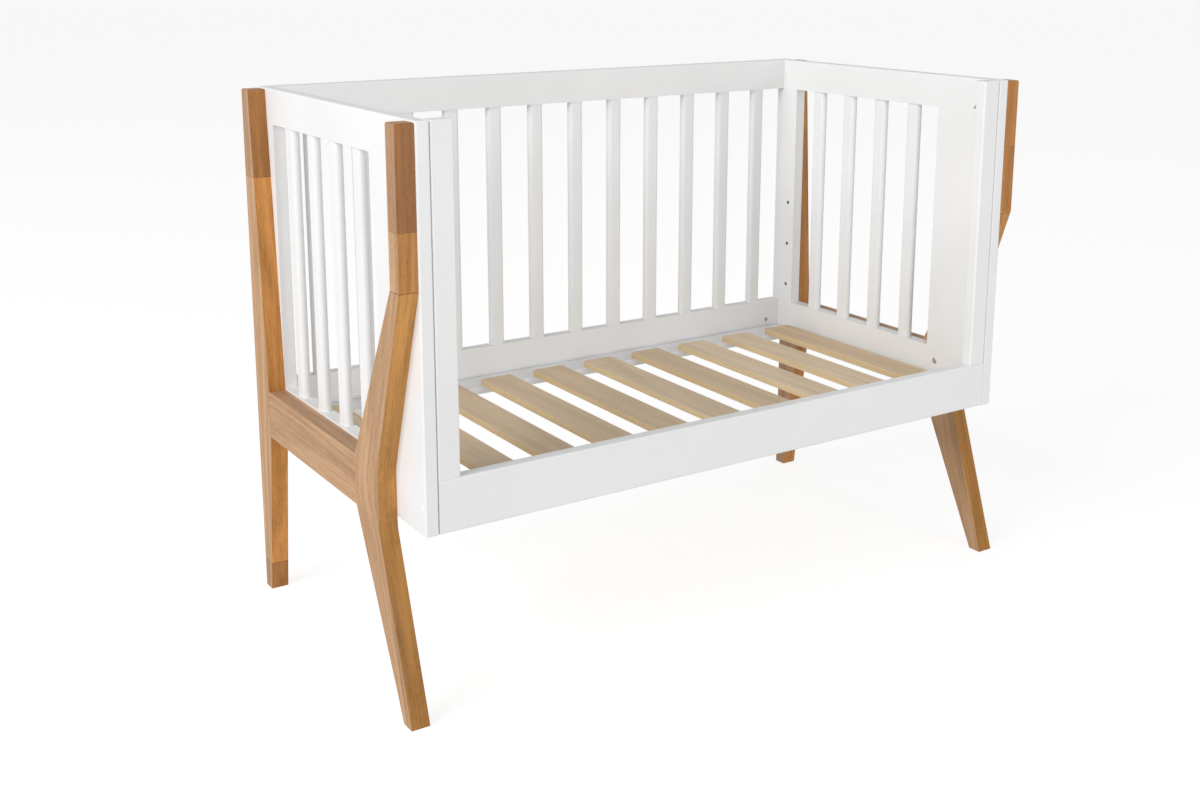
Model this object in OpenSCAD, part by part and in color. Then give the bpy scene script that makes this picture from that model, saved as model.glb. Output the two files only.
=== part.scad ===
// Slatted baby crib on splayed wooden leg frames, in millimetres.
// +X runs along the length, +Y towards the rear and +Z up.
// The origin is on the floor, in the middle of the crib.

/* [Overall] */
// Clear length of the sleeping space between the two end panels
inner_l = 1204; // [1100:2:1300]
// Outside depth over the end panels
depth = 656; // [620:2:720]
// Height of the top edge above the floor
top_z = 967.5; // [940:0.5:1000]
// Height of the panels' lower edge above the floor
skirt_z = 320.5; // [310:0.5:330]

/* [Panels] */
// Thickness of the end panels
panel_t = 23; // [20:1:28]
// Thickness of the rear panel
rear_t = 22; // [20:1:26]
// Thickness of the front frame
front_t = 23; // [20:1:26]
// Height of the top rails
top_rail_h = 64.5; // [55:0.5:80]
// Height of the bottom rails of the end and rear panels
bottom_rail_h = 90.5; // [80:0.5:105]
// Height of the front rail
front_rail_h = 88.5; // [80:0.5:100]
// Width of the rear stile of an end panel
rear_stile_w = 67.5; // [60:0.5:75]
// Width of the broad front stile of an end panel
front_stile_w = 156; // [140:1:170]
// Width of a stile of the front frame
entry_stile_w = 38.5; // [34:0.5:44]
// Gap between the front frame and each end panel
entry_gap = 0.8; // [0.5:0.1:3]
// Radius on the painted outer edges
edge_r = 3; // [1:0.5:5]

/* [Bars] */
// Width of a bar along its panel
bar_w = 33; // [28:1:36]
// Thickness of a bar
bar_t = 16; // [14:1:18]
// Number of bars in the rear panel
rear_bars = 12; // [12]
// Spacing of the rear bars
rear_pitch = 96.5; // [92:0.5:98]
// Number of bars in each end panel
end_bars = 4; // [4]
// Spacing of the end bars
end_pitch = 96; // [92:0.5:98]
// Centre of the bar next to the broad front stile
end_bar_y0 = -96; // [-100:1:-92]
// Radius of the round tenon at each end of a bar
tenon_r = 5; // [4:0.5:6]
// Length of that tenon
tenon_l = 12; // [10:1:16]

/* [Legs] */
// Thickness of the leg frames
leg_t = 32.5; // [28:0.5:36]
// Width of the straight upper leg
leg_w = 32; // [28:1:36]
// Distance of the leg's outer edge from the middle, at its top and at its foot
leg_edge_y = 325; // [315:1:328]
// Height of the upper leg's end grain
leg_top_z = 965; // [930:1:967]
// Height of the mitre where the leg turns inward
bend_z = 711; // [690:1:730]
// Distance of the knee's outer edge from the middle
knee_y = 224; // [210:1:235]
// Height at which the knee's outer edge becomes upright
knee_top_z = 404; // [398:1:412]
// Height at which the foot starts to splay
knee_low_z = 305; // [295:1:315]
// Radius on the knee's outer corners
knee_r = 60; // [20:5:90]
// Width of the foot at the floor
foot_w = 28; // [26:1:34]
// Lower edge of the cross rail
cross_low_z = 319; // [312:1:324]
// Upper edge of the cross rail
cross_top_z = 407; // [400:1:414]
// Distance of the cross rail's front end from the middle
cross_y = 136; // [130:1:142]
// Distance of the rear leg's inner edge from the middle, at the cross rail
rear_knee_y = 260; // [250:1:270]
// Height of the joint between the two blocks of a rear leg
rear_joint_z = 806; // [780:1:830]

/* [Mattress base] */
// Height of the slats' upper face in the lowest position
slat_top_z = 362; // [358:1:368]
// Slat thickness
slat_t = 12; // [10:1:12]
// Slat width
slat_w = 71; // [64:1:76]
// Slat length
slat_l = 506; // [500:2:520]
// Number of slats
slats = 10; // [10]
// Spacing of the slats
slat_pitch = 122.6; // [118:0.1:124]
// Radius on the slats' corners
slat_r = 7; // [3:1:10]
// Overall depth of the base frame
base_depth = 606; // [600:1:606]
// Overall length of the base frame
base_l = 1200; // [1190:1:1200]
// Width of the long rails' flat ledge
ledge_w = 65; // [60:1:70]
// Thickness of that ledge
ledge_t = 14; // [12:1:16]
// Thickness of the rib under the ledge's outer side, and of the end rails
rib_t = 18; // [16:1:20]
// Height of the rib and of the end rails
rib_h = 28; // [26:1:30]

/* [Fittings] */
// Distance of the level bolts from the middle
level_y = 281; // [278:1:284]
// Height of the bolts in the lowest position
low_level_z = 337; // [334:1:340]
// Height of the first of the three upper levels
upper_level_z = 451; // [445:1:455]
// Spacing of the three upper levels
level_pitch = 96; // [90:1:98]
// Shank radius of every bolt and stud
bolt_r = 3; // [3]
// Outer radius of the threaded inserts
insert_r = 4.5; // [4.5]
// Radius of a barrel nut
nut_r = 5; // [5]
// Distance of the rails' barrel nuts from the end panels
nut_inset = 35; // [30:1:40]
// Radius of the wooden dowels
dowel_r = 4; // [4]

/* [Hidden] */
$fn = 32;
free_fit = 0.05;
bolt_hole_r = bolt_r + 0.25;
tenon_hole_r = tenon_r + free_fit;
dowel_hole_r = dowel_r + free_fit;
insert_bore_r = bolt_r + free_fit;
x_in = inner_l / 2;
x_out = x_in + panel_t;
x_leg = x_out + leg_t;
y_out = depth / 2;
y_rear_in = y_out - rear_t;
y_mid_rear = y_out - rear_t / 2;
y_mid_front = front_t / 2 - y_out;
top_rail_z = top_z - top_rail_h;
bottom_rail_z = skirt_z + bottom_rail_h;
front_rail_z = skirt_z + front_rail_h;
entry_x = x_in - entry_gap;
entry_stile_x = entry_x - entry_stile_w;
rear_stile_y = y_out - rear_stile_w;
front_stile_y = front_stile_w - y_out;
bar_open_h = top_rail_z - bottom_rail_z;
end_bar_ys = [for (i = [0:end_bars - 1]) end_bar_y0 + i * end_pitch];
rear_bar_xs = [for (i = [0:rear_bars - 1]) (i - (rear_bars - 1) / 2) * rear_pitch];
slat_xs = [for (i = [0:slats - 1]) (i - (slats - 1) / 2) * slat_pitch];
slat_z = slat_top_z - slat_t;
rib_z = slat_z - rib_h;
ledge_z = slat_z - ledge_t;
base_x = base_l / 2;
base_y = base_depth / 2;
base_in_x = base_x - rib_t;
level_zs = [low_level_z, for (i = [0:2]) upper_level_z + i * level_pitch];
// Joints between the panels at their corners: heights of the bolts and of the studs
corner_bolt_z = skirt_z + 44.5;
corner_stud_z = top_z - 32.5;
nut_x = x_in - nut_inset;
stile_nut_x = entry_x - entry_stile_w / 2;
cap_r = 6.2;
cap_t = 4;
cap_recess = 10;
head_r = 5.5;
head_h = 4;
nut_l = 14;
insert_l = 13;
leg_insert_l = 18;
// Leg bolts: [y, z] at the front knee and in the rear leg
knee_bolts = [[-195.6, 381], [303, 335]];
// Inner edge of the tapered rear leg at the joint of its blocks
rear_joint_y = leg_edge_y - leg_w - (leg_edge_y - leg_w - rear_knee_y)
    * (leg_top_z - rear_joint_z) / (leg_top_z - cross_top_z);
dowel_l = 38;
rail_dowel_inset = 30;
catch_y = -275.6;
catch_z = 911.5;
catch_r = 6.5;
catch_t = 2;
catch_pin_r = 2.5;
catch_pin_l = 8;
screw_r = 1.75;
screw_head_r = 3.5;
screw_l = 22;
base_screw_l = 38;
base_screw_y = base_y - ledge_w + 14;
white = "whitesmoke";
oiled = "peru";
pale = "tan";
steel = "silver";

// ---- Outlines with rounded corners ----

function unit(v) = v / norm(v);

// Points of the fillet of radius r at corner b, between its neighbours a and c
function fillet(a, b, c, r, n = 6) =
    r <= 0 ? [b] :
    let (
        u = unit(a - b),
        w = unit(c - b),
        half = acos(u * w) / 2,
        centre = b + unit(u + w) * r / sin(half),
        start = b + u * r / tan(half) - centre,
        end = b + w * r / tan(half) - centre,
        from = atan2(start[1], start[0]),
        sweep = (atan2(end[1], end[0]) - from + 540) % 360 - 180
    )
    [for (i = [0:n]) centre + r * [cos(from + sweep * i / n), sin(from + sweep * i / n)]];

function rounded(points, radii) =
    let (n = len(points))
    [for (i = [0:n - 1]) each fillet(points[(i + n - 1) % n], points[i], points[(i + 1) % n], radii[i])];

function rect(w, h) = [[0, 0], [w, 0], [w, h], [0, h]];

// Extrudes a Y-Z outline by a length along +X
module along_x(l) {
    rotate([90, 0, 90])
        linear_extrude(l)
            children();
}

// Extrudes an X-Z outline by a length along +Y
module along_y(l) {
    translate([0, l, 0])
        rotate([90, 0, 0])
            linear_extrude(l)
                children();
}

// A board from its lowest corner. Each list rounds the four corners of one outline, seen along that
// axis, in the order low-low, high-low, high-high, low-high.
module board(at, size, rx = [0, 0, 0, 0], ry = [0, 0, 0, 0], rz = [0, 0, 0, 0]) {
    translate(at)
        intersection() {
            cube(size);
            if (max(rx) > 0)
                along_x(size[0])
                    polygon(rounded(rect(size[1], size[2]), rx));
            if (max(ry) > 0)
                along_y(size[1])
                    polygon(rounded(rect(size[0], size[2]), ry));
            if (max(rz) > 0)
                linear_extrude(size[2])
                    polygon(rounded(rect(size[0], size[1]), rz));
        }
}

// A round rod or hole from a point along an axis: "x", "y" or "z"
module rod(at, axis, r, l) {
    translate(at)
        rotate(axis == "x" ? [0, 90, 0] : axis == "y" ? [-90, 0, 0] : [0, 0, 0])
            cylinder(r = r, h = l);
}

// A rod centred on a point
module centred_rod(at, axis, r, l) {
    rod(at - (axis == "x" ? [l / 2, 0, 0] : axis == "y" ? [0, l / 2, 0] : [0, 0, l / 2]), axis, r, l);
}

// Draws a right-hand piece as it is, or mirrors it to the left
module side(s) {
    if (s == "left")
        mirror([1, 0, 0])
            children();
    else
        children();
}

module both_sides() {
    side("right")
        children();
    side("left")
        children();
}

// ---- Dowels and their holes, on the right-hand side ----

module end_panel_dowels(r) {
    for (y = [-y_out + 34, front_stile_y - 34, rear_stile_y + 17, y_out - 17])
        centred_rod([x_in + panel_t / 2, y, top_rail_z], "z", r, dowel_l);
    for (y = [front_stile_y, rear_stile_y], z = [skirt_z + rail_dowel_inset, bottom_rail_z - rail_dowel_inset])
        centred_rod([x_in + panel_t / 2, y, z], "y", r, dowel_l);
}

module entry_dowels(r) {
    for (dx = [-10, 10])
        centred_rod([stile_nut_x + dx, y_mid_front, front_rail_z], "z", r, dowel_l);
}

module leg_dowels(r) {
    for (y = [-cross_y, rear_knee_y], z = [cross_low_z + 22, cross_top_z - 22])
        centred_rod([x_out + leg_t / 2, y, z], "y", r, dowel_l);
    centred_rod([x_out + leg_t / 2, -leg_edge_y + leg_w / 2, bend_z], "z", r, dowel_l);
    centred_rod([x_out + leg_t / 2, (rear_joint_y + leg_edge_y) / 2, rear_joint_z], "z", r, dowel_l);
}

// Screws through the base's end rails into its long rails, their heads flush with the end rail
module base_screws(r) {
    for (y = [-1, 1]) {
        rod([base_x - base_screw_l, y * base_screw_y, ledge_z + ledge_t / 2], "x", r, base_screw_l);
        rod([base_x - 2, y * base_screw_y, ledge_z + ledge_t / 2], "x", screw_head_r, 2);
    }
}

// ---- Corner joints, on the right-hand side ----

// Holes that the corner bolts, studs and nuts need in the panels, front and rear
module corner_holes() {
    for (y = [y_mid_front, y_mid_rear]) {
        rod([nut_x - 10, y, corner_bolt_z], "x", bolt_hole_r, x_out - nut_x + 11);
        rod([x_out - cap_recess, y, corner_bolt_z], "x", cap_r, cap_recess + 1);
    }
    rod([nut_x - 10, y_mid_rear, corner_stud_z], "x", bolt_hole_r, x_out - nut_x + 11);
    rod([stile_nut_x - 10, y_mid_front, corner_stud_z], "x", bolt_hole_r, x_out - stile_nut_x + 11);
}

// Blind holes for the barrel nuts: from inside the sleeping space, and from behind for the top rear rail
module nut_holes() {
    rod([nut_x, y_mid_rear - rear_t / 2 - 1, corner_bolt_z], "y", nut_r, rear_t / 2 + nut_l / 2 + 1);
    rod([nut_x, y_mid_rear - nut_l / 2, corner_stud_z], "y", nut_r, rear_t / 2 + nut_l / 2 + 1);
    rod([nut_x, y_mid_front - nut_l / 2, corner_bolt_z], "y", nut_r, front_t / 2 + nut_l / 2 + 1);
    rod([stile_nut_x, y_mid_front - nut_l / 2, corner_stud_z], "y", nut_r, front_t / 2 + nut_l / 2 + 1);
}

module knee_bolt_holes() {
    for (k = knee_bolts) {
        rod([x_in - 1, k[0], k[1]], "x", bolt_hole_r, panel_t + 2);
        rod([x_in - 1, k[0], k[1]], "x", head_r + 0.5, head_h + 1.5);
    }
}

// Blind holes for the inserts in the leg frame
module leg_insert_holes() {
    for (y = [y_mid_front, y_mid_rear])
        rod([x_out - 1, y, corner_stud_z], "x", insert_r, leg_insert_l + 2);
    for (k = knee_bolts)
        rod([x_out - 1, k[0], k[1]], "x", insert_r, leg_insert_l + 2);
}

module level_holes() {
    for (y = [-level_y, level_y], z = level_zs)
        rod([x_in - 1, y, z], "x", insert_r, insert_l + 2);
}

// ---- End panels ----

module end_top_rail() {
    color(white)
        difference() {
            board(
                [x_in, -y_out, top_rail_z],
                [panel_t, depth, top_rail_h],
                rx = [0, 0, edge_r, edge_r],
                ry = [0, 0, edge_r, edge_r],
                rz = [edge_r, edge_r, edge_r, edge_r]
            );
            end_panel_dowels(dowel_hole_r);
            corner_holes();
            for (y = end_bar_ys)
                rod([x_in + panel_t / 2, y, top_rail_z - 1], "z", tenon_hole_r, tenon_l + 1);
            rod([x_in - 1, catch_y, catch_z], "x", catch_pin_r, 13);
        }
}

module end_bottom_rail() {
    color(white)
        difference() {
            board(
                [x_in, front_stile_y, skirt_z],
                [panel_t, rear_stile_y - front_stile_y, bottom_rail_h],
                ry = [edge_r, edge_r, 0, 0]
            );
            end_panel_dowels(dowel_hole_r);
            knee_bolt_holes();
            for (y = end_bar_ys)
                rod([x_in + panel_t / 2, y, bottom_rail_z - tenon_l], "z", tenon_hole_r, tenon_l + 1);
        }
}

module end_stile(y, w, radii) {
    color(white)
        difference() {
            board([x_in, y, skirt_z], [panel_t, w, top_rail_z - skirt_z], ry = [edge_r, edge_r, 0, 0], rz = radii);
            end_panel_dowels(dowel_hole_r);
            corner_holes();
            knee_bolt_holes();
            level_holes();
        }
}

// A bar with a full-round edge on both sides and a round tenon at each end
module bar() {
    linear_extrude(bar_open_h) {
        square([bar_w - bar_t, bar_t], center = true);
        for (dx = [-1, 1])
            translate([dx * (bar_w - bar_t) / 2, 0])
                circle(d = bar_t);
    }
    rod([0, 0, -tenon_l], "z", tenon_r, bar_open_h + 2 * tenon_l);
}

module end_bars() {
    color(white)
        for (y = end_bar_ys)
            translate([x_in + panel_t / 2, y, bottom_rail_z])
                rotate([0, 0, 90])
                    bar();
}

// ---- Rear panel ----

module rear_rail(z, h, radii) {
    color(white)
        difference() {
            board([-x_in, y_rear_in, z], [inner_l, rear_t, h], rx = radii);
            both_sides() {
                corner_holes();
                nut_holes();
            }
            for (x = rear_bar_xs)
                rod([x, y_mid_rear, bottom_rail_z - tenon_l], "z", tenon_hole_r, bar_open_h + 2 * tenon_l);
        }
}

module rear_bar(i) {
    color(white)
        translate([rear_bar_xs[i - 1], y_mid_rear, bottom_rail_z])
            bar();
}

// ---- Front frame around the open entry ----

module front_rail() {
    color(white)
        difference() {
            board([-entry_x, -y_out, skirt_z], [2 * entry_x, front_t, front_rail_h], rx = [edge_r, edge_r, edge_r, edge_r]);
            both_sides() {
                corner_holes();
                nut_holes();
                entry_dowels(dowel_hole_r);
            }
        }
}

module entry_stile() {
    color(white)
        difference() {
            board(
                [entry_stile_x, -y_out, front_rail_z],
                [entry_stile_w, front_t, top_z - front_rail_z],
                ry = [0, 0, edge_r, edge_r],
                rz = [edge_r, edge_r, edge_r, edge_r]
            );
            corner_holes();
            nut_holes();
            entry_dowels(dowel_hole_r);
        }
}

// ---- Leg frames ----

// Front lower leg from the foot through the knee to the mitre, as a Y-Z outline mirrored to the rear
front_lower_outline = rounded(
    [
        [leg_edge_y - foot_w, 0],
        [leg_edge_y, 0],
        [knee_y, knee_low_z],
        [knee_y, knee_top_z],
        [leg_edge_y, bend_z],
        [leg_edge_y - leg_w, bend_z],
        [cross_y, cross_top_z],
        [cross_y, cross_low_z]
    ],
    [1, 1, knee_r, knee_r, 0, 0, 0, 0]
);

// Rear leg, upright behind and widest at the cross rail, in its two blocks
rear_lower_outline = rounded(
    [
        [leg_edge_y - foot_w, 0],
        [leg_edge_y, 0],
        [leg_edge_y, rear_joint_z],
        [rear_joint_y, rear_joint_z],
        [rear_knee_y, cross_top_z],
        [rear_knee_y, cross_low_z]
    ],
    [1, 1, 0, 0, 0, 0]
);
rear_upper_outline = rounded(
    [
        [rear_joint_y, rear_joint_z],
        [leg_edge_y, rear_joint_z],
        [leg_edge_y, leg_top_z],
        [leg_edge_y - leg_w, leg_top_z]
    ],
    [0, 0, edge_r, edge_r]
);

module leg_lower(s) {
    color(oiled)
        difference() {
            mirror([0, s == "front" ? 1 : 0, 0])
                translate([x_out, 0, 0])
                    along_x(leg_t)
                        polygon(s == "front" ? front_lower_outline : rear_lower_outline);
            leg_dowels(dowel_hole_r);
            leg_insert_holes();
        }
}

// The upper block of a leg, rounded over its end grain
module leg_upper(s) {
    low_z = s == "front" ? bend_z : rear_joint_z;
    color(oiled)
        difference() {
            if (s == "front")
                board(
                    [x_out, -leg_edge_y, low_z],
                    [leg_t, leg_w, leg_top_z - low_z],
                    rx = [0, 0, edge_r, edge_r],
                    ry = [0, 0, edge_r, edge_r]
                );
            else
                intersection() {
                    translate([x_out, 0, 0])
                        along_x(leg_t)
                            polygon(rear_upper_outline);
                    board(
                        [x_out, rear_joint_y - 1, low_z],
                        [leg_t, leg_edge_y - rear_joint_y + 2, leg_top_z - low_z],
                        ry = [0, 0, edge_r, edge_r]
                    );
                }
            leg_dowels(dowel_hole_r);
            leg_insert_holes();
        }
}

module cross_rail() {
    color(oiled)
        difference() {
            board([x_out, -cross_y, cross_low_z], [leg_t, cross_y + rear_knee_y, cross_top_z - cross_low_z]);
            leg_dowels(dowel_hole_r);
        }
}

// ---- Height-adjustable mattress base ----

// Slot, open below, that drops over a level bolt, and room for the bolt's head and washer
module bolt_slots() {
    for (y = [-level_y, level_y]) {
        rod([base_in_x - 1, y, low_level_z], "x", bolt_r + 0.3, rib_t + 2);
        translate([base_in_x - 1, y - bolt_r - 0.3, rib_z - 1])
            cube([rib_t + 2, 2 * bolt_r + 0.6, low_level_z - rib_z + 1]);
        translate([base_in_x - 9, y - 11, rib_z - 1])
            cube([9, 22, rib_h - 2]);
    }
}

module base_end_rail() {
    color(white)
        difference() {
            board([base_in_x, -base_y, rib_z], [rib_t, base_depth, rib_h]);
            bolt_slots();
            base_screws(screw_r);
            slat_screw_set(screw_r);
        }
}

module base_long_rail(s) {
    color(white)
        difference() {
            mirror([0, s == "front" ? 1 : 0, 0])
                union() {
                    translate([-base_in_x, base_y - ledge_w, ledge_z])
                        cube([2 * base_in_x, ledge_w, ledge_t]);
                    translate([-base_in_x, base_y - rib_t, rib_z])
                        cube([2 * base_in_x, rib_t, rib_h]);
                }
            both_sides() {
                bolt_slots();
                base_screws(screw_r);
            }
            slat_screw_set(screw_r);
        }
}

module slat(i) {
    color(pale)
        difference() {
            board(
                [slat_xs[i - 1] - slat_w / 2, -slat_l / 2, slat_z],
                [slat_w, slat_l, slat_t],
                ry = [1.5, 1.5, 1.5, 1.5],
                rz = [slat_r, slat_r, slat_r, slat_r]
            );
            slat_screw_set(screw_r);
        }
}

// ---- Fittings ----

// One screw through the ledge into each slat end, driven from below
module slat_screw_set(r) {
    for (x = slat_xs, y = [-1, 1])
        translate([x * 0.985, y * (slat_l / 2 - 7.5), ledge_z])
            cylinder(r = r, h = screw_l);
}

module slat_screws() {
    color(steel) {
        slat_screw_set(screw_r);
        for (x = slat_xs, y = [-1, 1])
            translate([x * 0.985, y * (slat_l / 2 - 7.5), ledge_z - 2])
                cylinder(r = screw_head_r, h = 2);
        both_sides()
            base_screws(screw_r);
    }
}

// An insert with its bore, from its mouth along +X
module insert(at, l) {
    difference() {
        rod(at, "x", insert_r, l);
        rod(at - [1, 0, 0], "x", insert_bore_r, l + 2);
    }
}

module threaded_inserts() {
    color(steel)
        both_sides() {
            for (y = [-level_y, level_y], z = level_zs)
                insert([x_in + 0.5, y, z], insert_l);
            for (y = [y_mid_front, y_mid_rear])
                insert([x_out + 0.5, y, corner_stud_z], leg_insert_l);
            for (k = knee_bolts)
                insert([x_out + 0.5, k[0], k[1]], leg_insert_l);
        }
}

// A bolt whose head ends at a point, with its shank along +X or -X
module bolt(at, l, dir = 1) {
    translate(at)
        rotate([0, dir * 90, 0]) {
            translate([0, 0, -head_h])
                difference() {
                    cylinder(r = head_r, h = head_h);
                    translate([0, 0, -1])
                        cylinder(r = 2.3, h = 3.5, $fn = 6);
                }
            cylinder(r = bolt_r, h = l);
        }
}

// Level bolts with their washers, in the lowest inserts
module base_bolts() {
    color(steel)
        both_sides()
            for (y = [-level_y, level_y]) {
                bolt([base_in_x - 2, y, low_level_z], 35);
                rod([base_in_x - 2, y, low_level_z], "x", 9, 1.6);
            }
}

// Headless studs that pull rail, panel and leg together at the top corners
module connector_studs() {
    color(steel)
        both_sides() {
            rod([nut_x - 8, y_mid_rear, corner_stud_z], "x", bolt_r, x_out + leg_insert_l - nut_x + 8);
            rod([stile_nut_x - 8, y_mid_front, corner_stud_z], "x", bolt_r, x_out + leg_insert_l - stile_nut_x + 8);
        }
}

// Bolts from outside into the bottom corners, and from inside into the knees
module connector_bolts() {
    color(steel)
        both_sides() {
            for (y = [y_mid_front, y_mid_rear])
                bolt([x_out - cap_recess, y, corner_bolt_z], x_out - cap_recess - nut_x + 8, -1);
            for (k = knee_bolts)
                bolt([x_in + head_h + 0.5, k[0], k[1]], panel_t - head_h + leg_insert_l - 1);
        }
}

module barrel_nut(at) {
    difference() {
        centred_rod(at, "y", nut_r, nut_l);
        centred_rod(at, "x", bolt_r + free_fit, 3 * nut_r);
    }
}

module barrel_nuts() {
    color(steel)
        both_sides() {
            barrel_nut([nut_x, y_mid_rear, corner_bolt_z]);
            barrel_nut([nut_x, y_mid_rear, corner_stud_z]);
            barrel_nut([nut_x, y_mid_front, corner_bolt_z]);
            barrel_nut([stile_nut_x, y_mid_front, corner_stud_z]);
        }
}

module bolt_caps() {
    color(white)
        both_sides()
            for (y = [y_mid_front, y_mid_rear])
                rod([x_out - cap_t, y, corner_bolt_z], "x", cap_r, cap_t);
}

module joint_dowels() {
    color(pale)
        both_sides() {
            end_panel_dowels(dowel_r);
            entry_dowels(dowel_r);
            leg_dowels(dowel_r);
        }
}

// Studs that the separate front gate would hook over
module gate_catches() {
    color(steel)
        both_sides() {
            rod([x_in - catch_t, catch_y, catch_z], "x", catch_r, catch_t);
            rod([x_in - catch_t - catch_pin_l, catch_y, catch_z], "x", catch_pin_r, catch_t + catch_pin_l + 12);
        }
}

// ---- Pieces ----

for (s = ["left", "right"]) side(s) {
    end_top_rail();
    end_bottom_rail();
    end_stile(-y_out, front_stile_w, [edge_r, edge_r, 0, 0]);
    end_stile(rear_stile_y, rear_stile_w, [0, 0, edge_r, edge_r]);
    end_bars();
    cross_rail();
    leg_upper("front");
    leg_lower("front");
    leg_upper("rear");
    leg_lower("rear");
    entry_stile();
    base_end_rail();
}
rear_rail(top_rail_z, top_rail_h, [0, 0, edge_r, edge_r]);  // rear_top_rail
rear_rail(skirt_z, bottom_rail_h, [edge_r, edge_r, 0, 0]);  // rear_bottom_rail
for (i = [1:rear_bars])
    rear_bar(i);
front_rail();
base_long_rail("front");  // base_front_rail
base_long_rail("rear");  // base_rear_rail
for (i = [1:slats])
    slat(i);
threaded_inserts();
base_bolts();
connector_studs();
connector_bolts();
barrel_nuts();
bolt_caps();
joint_dowels();
slat_screws();
gate_catches();
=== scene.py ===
import math
from contextlib import contextmanager
from functools import partialmethod

import bmesh
import bpy
from bpy.props import FloatProperty, FloatVectorProperty, IntProperty, PointerProperty
from bpy.types import Operator, Panel, PropertyGroup
from mathutils import Matrix, Vector


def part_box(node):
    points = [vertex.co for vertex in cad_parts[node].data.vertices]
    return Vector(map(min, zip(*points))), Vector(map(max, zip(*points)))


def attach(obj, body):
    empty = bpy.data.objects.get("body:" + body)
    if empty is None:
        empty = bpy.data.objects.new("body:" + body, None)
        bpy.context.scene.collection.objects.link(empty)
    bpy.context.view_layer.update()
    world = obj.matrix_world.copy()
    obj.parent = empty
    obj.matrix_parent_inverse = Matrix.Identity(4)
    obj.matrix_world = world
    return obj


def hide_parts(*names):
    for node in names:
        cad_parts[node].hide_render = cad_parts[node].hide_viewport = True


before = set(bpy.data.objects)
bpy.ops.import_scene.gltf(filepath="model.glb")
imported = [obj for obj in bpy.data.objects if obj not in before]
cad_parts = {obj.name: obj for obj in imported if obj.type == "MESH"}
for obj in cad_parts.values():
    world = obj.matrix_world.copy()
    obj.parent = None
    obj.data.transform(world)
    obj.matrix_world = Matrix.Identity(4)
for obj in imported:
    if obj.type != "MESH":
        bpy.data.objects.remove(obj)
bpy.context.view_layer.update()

bl_info = {
    "name": "Slatted baby crib",
    "version": (1, 0, 0),
    "blender": (4, 5, 0),
    "location": "3D View > Sidebar > Crib",
    "description": "Builds the painted panels, oiled leg frames, slatted base and fittings of a baby crib",
    "category": "Object",
}

MM = 0.001
SIDES = {"left": -1, "right": 1}

# Planes and sizes that the frame gives, in metres
TOP_RAIL_LOW, TOP_RAIL_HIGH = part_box("right_end_top_rail")
BOTTOM_RAIL_LOW, BOTTOM_RAIL_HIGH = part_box("right_end_bottom_rail")
REAR_RAIL_LOW, REAR_RAIL_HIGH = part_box("rear_top_rail")
FRONT_RAIL_LOW, FRONT_RAIL_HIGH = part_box("front_rail")
ENTRY_LOW, ENTRY_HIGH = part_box("entry_right_stile")
FRONT_LEG_LOW, FRONT_LEG_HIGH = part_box("front_right_leg_upper")
REAR_LEG_LOW, REAR_LEG_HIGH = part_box("rear_right_leg_upper")
CROSS_LOW, CROSS_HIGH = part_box("right_cross_rail")
BASE_END_LOW, BASE_END_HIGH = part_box("base_right_rail")
LEDGE_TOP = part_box("base_rear_rail")[1].z
SLAT_LOW, SLAT_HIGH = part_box("slat_1")
BAR_LOW, BAR_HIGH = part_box("rear_bar_1")

PANEL_IN = TOP_RAIL_LOW.x
PANEL_OUT = TOP_RAIL_HIGH.x
PANEL_MID_X = (PANEL_IN + PANEL_OUT) / 2
HALF_DEPTH = TOP_RAIL_HIGH.y
REAR_MID_Y = (REAR_RAIL_LOW.y + REAR_RAIL_HIGH.y) / 2
FRONT_MID_Y = (FRONT_RAIL_LOW.y + FRONT_RAIL_HIGH.y) / 2
MID_YS = (FRONT_MID_Y, REAR_MID_Y)
OPENING_LOW = BOTTOM_RAIL_HIGH.z
OPENING_HIGH = TOP_RAIL_LOW.z
STILE_FRONT_Y = BOTTOM_RAIL_LOW.y
STILE_REAR_Y = BOTTOM_RAIL_HIGH.y
MITRE_Z = FRONT_LEG_LOW.z
REAR_BLOCK_Z = REAR_LEG_LOW.z
STUD_Z = TOP_RAIL_HIGH.z - 32.5 * MM
CORNER_BOLT_Z = BOTTOM_RAIL_LOW.z + 44.5 * MM
CAP_SEAT_X = PANEL_OUT - 10 * MM
NUT_X = PANEL_IN - 35 * MM
PAST_NUT = 8
INTO_LEG = 18
ENTRY_MID_X = (ENTRY_LOW.x + ENTRY_HIGH.x) / 2
LEVEL_YS = (-281 * MM, 281 * MM)
LEVEL_HEIGHTS = [337 * MM, 451 * MM, 547 * MM, 643 * MM]
KNEE_BOLTS = [(-195.6 * MM, 381 * MM), (303 * MM, 335 * MM)]
CATCH = (PANEL_IN, -275.6 * MM, 911.5 * MM)
REAR_BAR_NODES = 12
REAR_BAR_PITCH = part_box("rear_bar_2")[0].x - BAR_LOW.x
END_BAR_PITCH = 96 * MM
END_BAR_COUNT = 4
END_BAR_MIDDLE_Y = 48 * MM
TENON_RADIUS = 5 * MM
TENON_LENGTH = 12 * MM
SLAT_NODES = 10
SLAT_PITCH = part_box("slat_2")[0].x - SLAT_LOW.x
SLAT_SCREW_Y = SLAT_HIGH.y - 7.5 * MM
SLAT_SCREW_Z = LEDGE_TOP - 14 * MM
SLAT_SCREW_SPREAD = 0.985
CORNER_SCREW_Y = 252 * MM
CORNER_SCREW_Z = LEDGE_TOP - 7 * MM
DOWEL_LENGTH = 38

# Joined edges lie within this distance of their plane, and edges sharper than this angle are eased
PLANE_REACH = 2e-5
EASED_ANGLE = math.radians(38)
CREASE_ANGLE = math.radians(32)
RIM_EDGE = 2.0 * MM
RIM_SHARE = 0.3

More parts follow.
